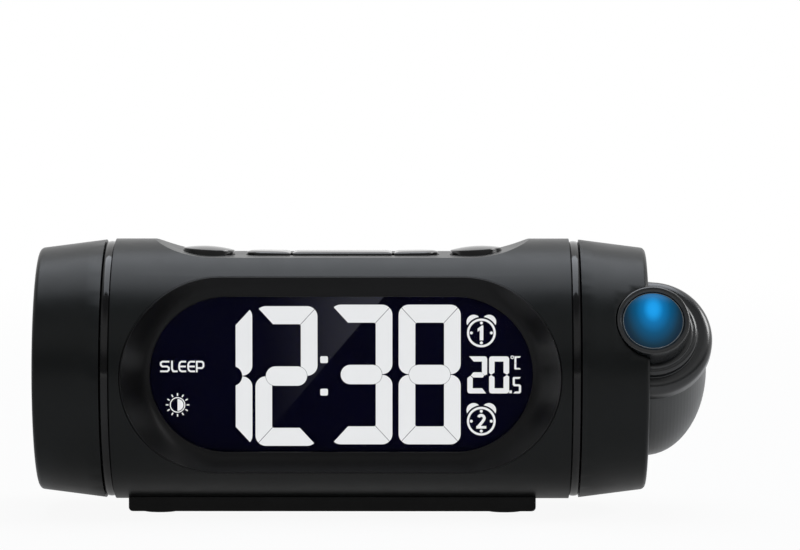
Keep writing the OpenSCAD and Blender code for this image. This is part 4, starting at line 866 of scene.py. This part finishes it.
class CLOCK_OT_projector(bpy.types.Operator):
    """Dome, stepped barrel, focus ring and lens of the projector"""
    bl_idname = "clock.projector"
    bl_label = "Projector"

    def execute(self, context):
        colours, _ = settings()
        dome = moulded("dome_satin", colours.dome_grey, 0.38, Specular_IOR_Level=0.5)
        finish(dome, "projector_dome")
        barrel = moulded("barrel_satin", colours.barrel_black, 0.24, depth=0.002 * MM,
                         Specular_IOR_Level=0.6)
        self.barrel(barrel)
        self.focus(barrel)
        self.lens(barrel, colours.lens_glow)
        return {"FINISHED"}

    def mount(self, piece, material, slot, body, node):
        """A turned piece takes its place on the beam, its finish and its CAD node's part."""
        to_beam(piece)
        smooth(piece, 35)
        wear(piece, material, body)
        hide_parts(node)

    def barrel(self, material):
        """Neck, round-shouldered collar and middle ring, hollow inside."""
        neck_r, neck_in, root = 13.5, 11.2, -3.0
        collar_r, collar_low, collar_top, shoulder = 17.6, 19.5, 25.0, 2.9
        mid_r, step, mid_round, tip_round = 13.2, 27.8, 1.3, 0.75
        tip, tip_r, bore, bore_low, neck_top = 28.6, 11.8, 9.6, 21.0, 19.4
        edge, fine = 0.15, 0.05
        profile = rounded([(neck_in, root), (neck_r, root), (neck_r, collar_low),
                           (collar_r, collar_low)], 0.3)
        profile += arc(collar_r - shoulder, collar_top - shoulder, shoulder, 0, 90, 14)
        profile += [(mid_r + edge, collar_top), (mid_r, collar_top + edge)]
        profile += arc(mid_r - mid_round, step - mid_round, mid_round, 0, 90, 10)
        profile += [(tip_r + fine, step + fine)]
        profile += arc(tip_r - tip_round, tip - tip_round, tip_round, 0, 90, 8)
        profile += [(bore + fine, tip), (bore, tip - 2 * fine), (bore, bore_low),
                    (neck_in, neck_top)]
        self.mount(turned("projector_tube", profile, 160), material, "barrel_plastic",
                   "projector_head", "projector_barrel")

    def focus(self, material):
        """Focus ring with a rolled front edge and a bevelled mouth."""
        sleeve_r, bore, root = 9.55, 8.9, 22.0
        ring_r, ring_low, roll, edge = 10.5, 28.9, 0.6, 0.15
        mouth, mouth_deep = 0.3, 0.5
        profile = [(bore, root), (sleeve_r, root), (sleeve_r, ring_low),
                   (ring_r - edge, ring_low), (ring_r, ring_low + edge)]
        profile += arc(ring_r - roll, FOCUS_L - roll, roll, 0, 90, 8)
        profile += [(bore + mouth + edge, FOCUS_L), (bore + mouth, FOCUS_L - edge),
                    (bore, FOCUS_L - mouth_deep)]
        self.mount(turned("focus_sleeve", profile, 160), material, "barrel_plastic",
                   "focus", "focus_ring")

    def lens(self, material, blue):
        """Lens in its cell, with painted light from the lamp behind it: brightest above its middle.
        """
        front, seat = FOCUS_L - 1.2, FOCUS_L - 4.2
        cell_r, seat_r, cell_in, root = 8.85, 8.15, 7.3, 24.0
        profile = rounded([(cell_in, root), (cell_r, root), (cell_r, front), (seat_r, front),
                           (seat_r, seat), (cell_in, seat)], 0.12)
        self.mount(turned("lens_holder", profile, 128), material, "barrel_plastic",
                   "lens_carrier", "lens_cell")
        r, rise, edge, flange, lift = 8.1, 1.3, FOCUS_L - 0.85, 8.7, 0.05
        curve = (flange * flange + rise * rise) / (2 * rise)
        half = math.degrees(math.asin(flange / curve))
        profile = [(0, seat), (r, seat), (r, front + lift), (flange, front + lift)]
        profile += arc(0, edge + rise - curve, curve, 90 - half, 90, 20)
        self.mount(turned("projection_glass", profile, 128), self.painted_glow(blue), "lens_glass",
                   "lens_carrier", "projection_lens")
        # A thin gloss ring at the lens's edge; its pale colour is a painted highlight, the bright
        # line round the lens
        wire, proud = 0.14, 0.01
        rim = turned("lens_rim", circle(flange - wire, edge + proud, wire, 12), 128)
        to_beam(rim)
        smooth(rim, 60)
        wear(rim, polished("rim_painted_highlight", (0.16, 0.18, 0.19), 0.15, Specular_IOR_Level=0.6),
             "lens_carrier")

    def painted_glow(self, blue):
        """Painted light behind the lens: emission in an upright oval, brightest above the lens's
        middle.
        """
        s = Shader("lens_glow", scaled(blue, 0.04), 0.18, Specular_IOR_Level=0.12)
        reach, narrower, raised = 12.0 * MM, 1.45, math.radians(5)
        tilt = BEAM_TILT + raised
        along = (FOCUS_L - 1.0) * MM
        spot = (HEAD_X, -along * math.cos(tilt), AXIS_Z + along * math.sin(tilt))
        place = s.add("ShaderNodeMapping", {
            "Vector": s.place, "Location": spot, "Scale": (reach / narrower, reach, reach)},
            vector_type="TEXTURE")
        ramp = s.add("ShaderNodeValToRGB", {"Fac": s.distance(place.outputs["Vector"])})
        ramp.color_ramp.elements.remove(ramp.color_ramp.elements[0])
        # Colours of the painted light by the distance from the brightest spot, as a share of the
        # reach
        stops = ((0.0, (0.016, 0.40, 0.96)), (0.2, (0.01, 0.32, 0.78)), (0.37, (0.003, 0.16, 0.40)),
                 (0.62, (0.002, 0.075, 0.17)), (0.9, (0.006, 0.028, 0.045)),
                 (1.0, (0.004, 0.016, 0.027)))
        for at, rgb in stops:
            point = (ramp.color_ramp.elements.new(at) if at < 1.0
                     else ramp.color_ramp.elements[-1])
            point.color = (*rgb, 1.0)
        s.set(Emission_Color=ramp.outputs["Color"], Emission_Strength=1.0)
        s.bump(s.noise(60.0, 1.0), 0.002 * MM)
        return s.material


class CLOCK_OT_inside(bpy.types.Operator):
    """Boards, speaker, fastenings, feet and the other small parts"""
    bl_idname = "clock.inside"
    bl_label = "Inner and small parts"

    def execute(self, context):
        board = Shader("board_green", (0.02, 0.12, 0.06), 0.35)
        board.vary_colour(board.noise(900.0, 1.0), (0.015, 0.09, 0.045), (0.03, 0.16, 0.08))
        finish(board.material, "display_board", "main_board", "key_board", "lamp_board")
        finish(metal("steel", (0.55, 0.55, 0.56), 0.35), "display_screws", "main_board_screws",
               "key_board_screws", "cap_screws", "rear_screws", "base_screws", "spindle_clip",
               "speaker_basket", "coin_cell", "usb_port", "dc_jack_pin")
        finish(metal("contact_metal", (0.75, 0.58, 0.28), 0.3), "cell_contacts")
        finish(metal("aluminium", (0.6, 0.61, 0.62), 0.4), "heat_sink")
        finish(moulded("magnet_black", (0.03, 0.03, 0.032), 0.5), "speaker_magnet")
        finish(moulded("cone_paper", (0.02, 0.02, 0.022), 0.8, grain=900.0, depth=0.03 * MM),
               "speaker_cone")
        finish(moulded("rubber", (0.02, 0.02, 0.02), 0.75, grain=1200.0, depth=0.01 * MM),
               "rubber_feet", "aerial_grommet", "speaker_gasket")
        finish(moulded("inner_black", (0.02, 0.02, 0.021), 0.45), "lcd_frame", "key_switches",
               "board_parts", "dc_jack", "picture_slide")
        finish(moulded("inner_pale", (0.6, 0.6, 0.57), 0.45), "spindle_bush", "thrust_washer",
               "friction_washer", "usb_tongue")
        finish(moulded("diffuser_white", (0.75, 0.76, 0.8), 0.5), "backlight_diffuser",
               "backlight_lamps")
        finish(moulded("condenser_glass", (0.5, 0.6, 0.7), 0.1), "condenser_lens")
        finish(moulded("sleeve_black", (0.02, 0.02, 0.022), 0.5), "projector_cable",
               "board_lead")
        finish(moulded("sleeve_red", (0.35, 0.02, 0.02), 0.5), "speaker_wires")
        finish(moulded("ribbon_tan", (0.6, 0.52, 0.36), 0.5), "display_ribbon")
        return {"FINISHED"}


class CLOCK_OT_stage(bpy.types.Operator):
    """Pale floor, soft lamps, white surroundings and the camera"""
    bl_idname = "clock.stage"
    bl_label = "Stage"

    def execute(self, context):
        stage = context.scene.clock_stage
        self.floor()
        self.world()
        key = self.lamp("key_light", place=(0, 0.22, 1.03), target=(0, 0.2, 0.04),
                        size=(0.9, 0.95), power=stage.key_power)
        key.data.color = (0.87, 0.92, 1.0)
        self.lamp("fill_light", place=(1.05, 0.12, 0.75), target=(0, 0, 0.05),
                  size=(0.5, 0.5), power=stage.fill_power)
        self.camera(stage)
        context.scene.view_settings.view_transform = "Standard"
        return {"FINISHED"}

    def floor(self):
        """Pale plane that takes the shadow, and that the camera sees as nearly white."""
        deselect()
        bpy.ops.mesh.primitive_plane_add(size=14.0, location=(0, 0, 0))
        floor = bpy.context.object
        floor.name = "floor"
        s = Shader("floor_pale", (0.6, 0.6, 0.6), 0.9, Specular_IOR_Level=0.0)
        s.vary_colour(s.noise(3.0), (0.59, 0.59, 0.59), (0.61, 0.61, 0.61))
        seen = s.add("ShaderNodeEmission", {"Color": (1.0, 1.0, 1.0, 1.0)})
        rays = s.add("ShaderNodeLightPath", {}).outputs
        away, start, end = s.distance(s.place), 0.15, 1.2
        shares = [s.maths("MULTIPLY", rays[ray], s.ramp(away, start, end, near))
                  for ray, near in (("Is Camera Ray", 0.93), ("Is Glossy Ray", 0.4),
                                    ("Is Transmission Ray", 0.1))]
        s.surface("Material Output", s.largest(*shares), s.principled.outputs["BSDF"],
                  seen.outputs["Emission"])
        floor.data.materials.append(s.material)

    def world(self):
        """Weak even light, and the room that the camera and the gloss see."""
        world = bpy.data.worlds.new("surroundings")
        bpy.context.scene.world = world
        world.use_nodes = True
        wires = Wiring(world.node_tree)
        light = wires.tree.nodes["Background"]
        wires.feed(light, {"Color": (1.0, 1.0, 1.0, 1.0), "Strength": 0.25})
        rays = wires.add("ShaderNodeLightPath", {}).outputs
        room = wires.add("ShaderNodeBackground", {
            "Color": self.room(wires, rays["Is Camera Ray"])})
        share = wires.largest(rays["Is Camera Ray"], rays["Is Glossy Ray"],
                              rays["Is Transmission Ray"])
        wires.surface("World Output", share, light.outputs["Background"],
                      room.outputs["Background"])

    def room(self, wires, to_camera):
        """White backdrop for the camera, and a dim room in front of it for reflections:
        brighter at the back, and in a band between the horizon and overhead."""
        way = wires.add("ShaderNodeTexCoord", {}).outputs["Generated"]
        split = wires.add("ShaderNodeSeparateXYZ", {"Vector": way})
        back, up = split.outputs["Y"], split.outputs["Z"]
        depth = wires.ramp(back, -0.35, 0.25, low=0.2)
        height = wires.ramp(up, 0.1, 0.45, high=0.7)
        overhead = wires.ramp(up, 0.65, 0.9, low=1.0, high=0.2)
        return wires.largest(to_camera, depth, wires.maths("MULTIPLY", height, overhead))

    def lamp(self, name, place, target, size, power):
        """A rectangular lamp at a place, turned to its target."""
        deselect()
        bpy.ops.object.light_add(type="AREA", location=place)
        lamp = bpy.context.object
        lamp.name = name
        lamp.data.shape = "RECTANGLE"
        lamp.data.size, lamp.data.size_y = size
        lamp.data.energy = power
        way = Vector(target) - Vector(place)
        lamp.rotation_euler = way.to_track_quat("-Z", "Y").to_euler()
        return lamp

    def camera(self, stage):
        """A long lens, a little above the clock and to its right."""
        a, e = stage.azimuth, stage.elevation
        back = Vector((math.sin(a) * math.cos(e), -math.cos(a) * math.cos(e), math.sin(e)))
        place = Vector((0, 0, AXIS_Z)) + back * stage.distance
        deselect()
        bpy.ops.object.camera_add(location=place)
        camera = bpy.context.object
        camera.name = "camera"
        camera.data.lens = stage.focal
        camera.data.sensor_width = 36.0
        way = Vector(stage.aim) - place
        camera.rotation_euler = way.to_track_quat("-Z", "Y").to_euler()
        camera.data.clip_start, camera.data.clip_end = 0.01, 50.0
        bpy.context.scene.camera = camera


STEPS = (CLOCK_OT_shell, CLOCK_OT_gloss, CLOCK_OT_keys, CLOCK_OT_display, CLOCK_OT_icons,
         CLOCK_OT_projector, CLOCK_OT_inside, CLOCK_OT_stage)


class CLOCK_PT_panel(bpy.types.Panel):
    """Lists the clock's steps and settings"""
    bl_idname = "CLOCK_PT_panel"
    bl_label = "Projection clock"
    bl_space_type = "VIEW_3D"
    bl_region_type = "UI"
    bl_category = "Clock"

    def draw(self, context):
        for step in STEPS:
            self.layout.operator(step.bl_idname)
        for group in (context.scene.clock_colours, context.scene.clock_sizes,
                      context.scene.clock_stage):
            for name in group.bl_rna.properties.keys():
                if name not in ("rna_type", "name"):
                    self.layout.prop(group, name)


CLASSES = (ClockColours, ClockSizes, ClockStage, *STEPS, CLOCK_PT_panel)


def register():
    """Adds the classes and the settings to Blender."""
    for item in CLASSES:
        bpy.utils.register_class(item)
    bpy.types.Scene.clock_colours = PointerProperty(type=ClockColours)
    bpy.types.Scene.clock_sizes = PointerProperty(type=ClockSizes)
    bpy.types.Scene.clock_stage = PointerProperty(type=ClockStage)


def unregister():
    """Takes the settings and the classes away again."""
    for name in ("clock_colours", "clock_sizes", "clock_stage"):
        delattr(bpy.types.Scene, name)
    for item in reversed(CLASSES):
        bpy.utils.unregister_class(item)


def main():
    """Runs every step."""
    register()
    for step in STEPS:
        group, name = step.bl_idname.split(".")
        getattr(getattr(bpy.ops, group), name)()


if __name__ == "__main__":
    main()
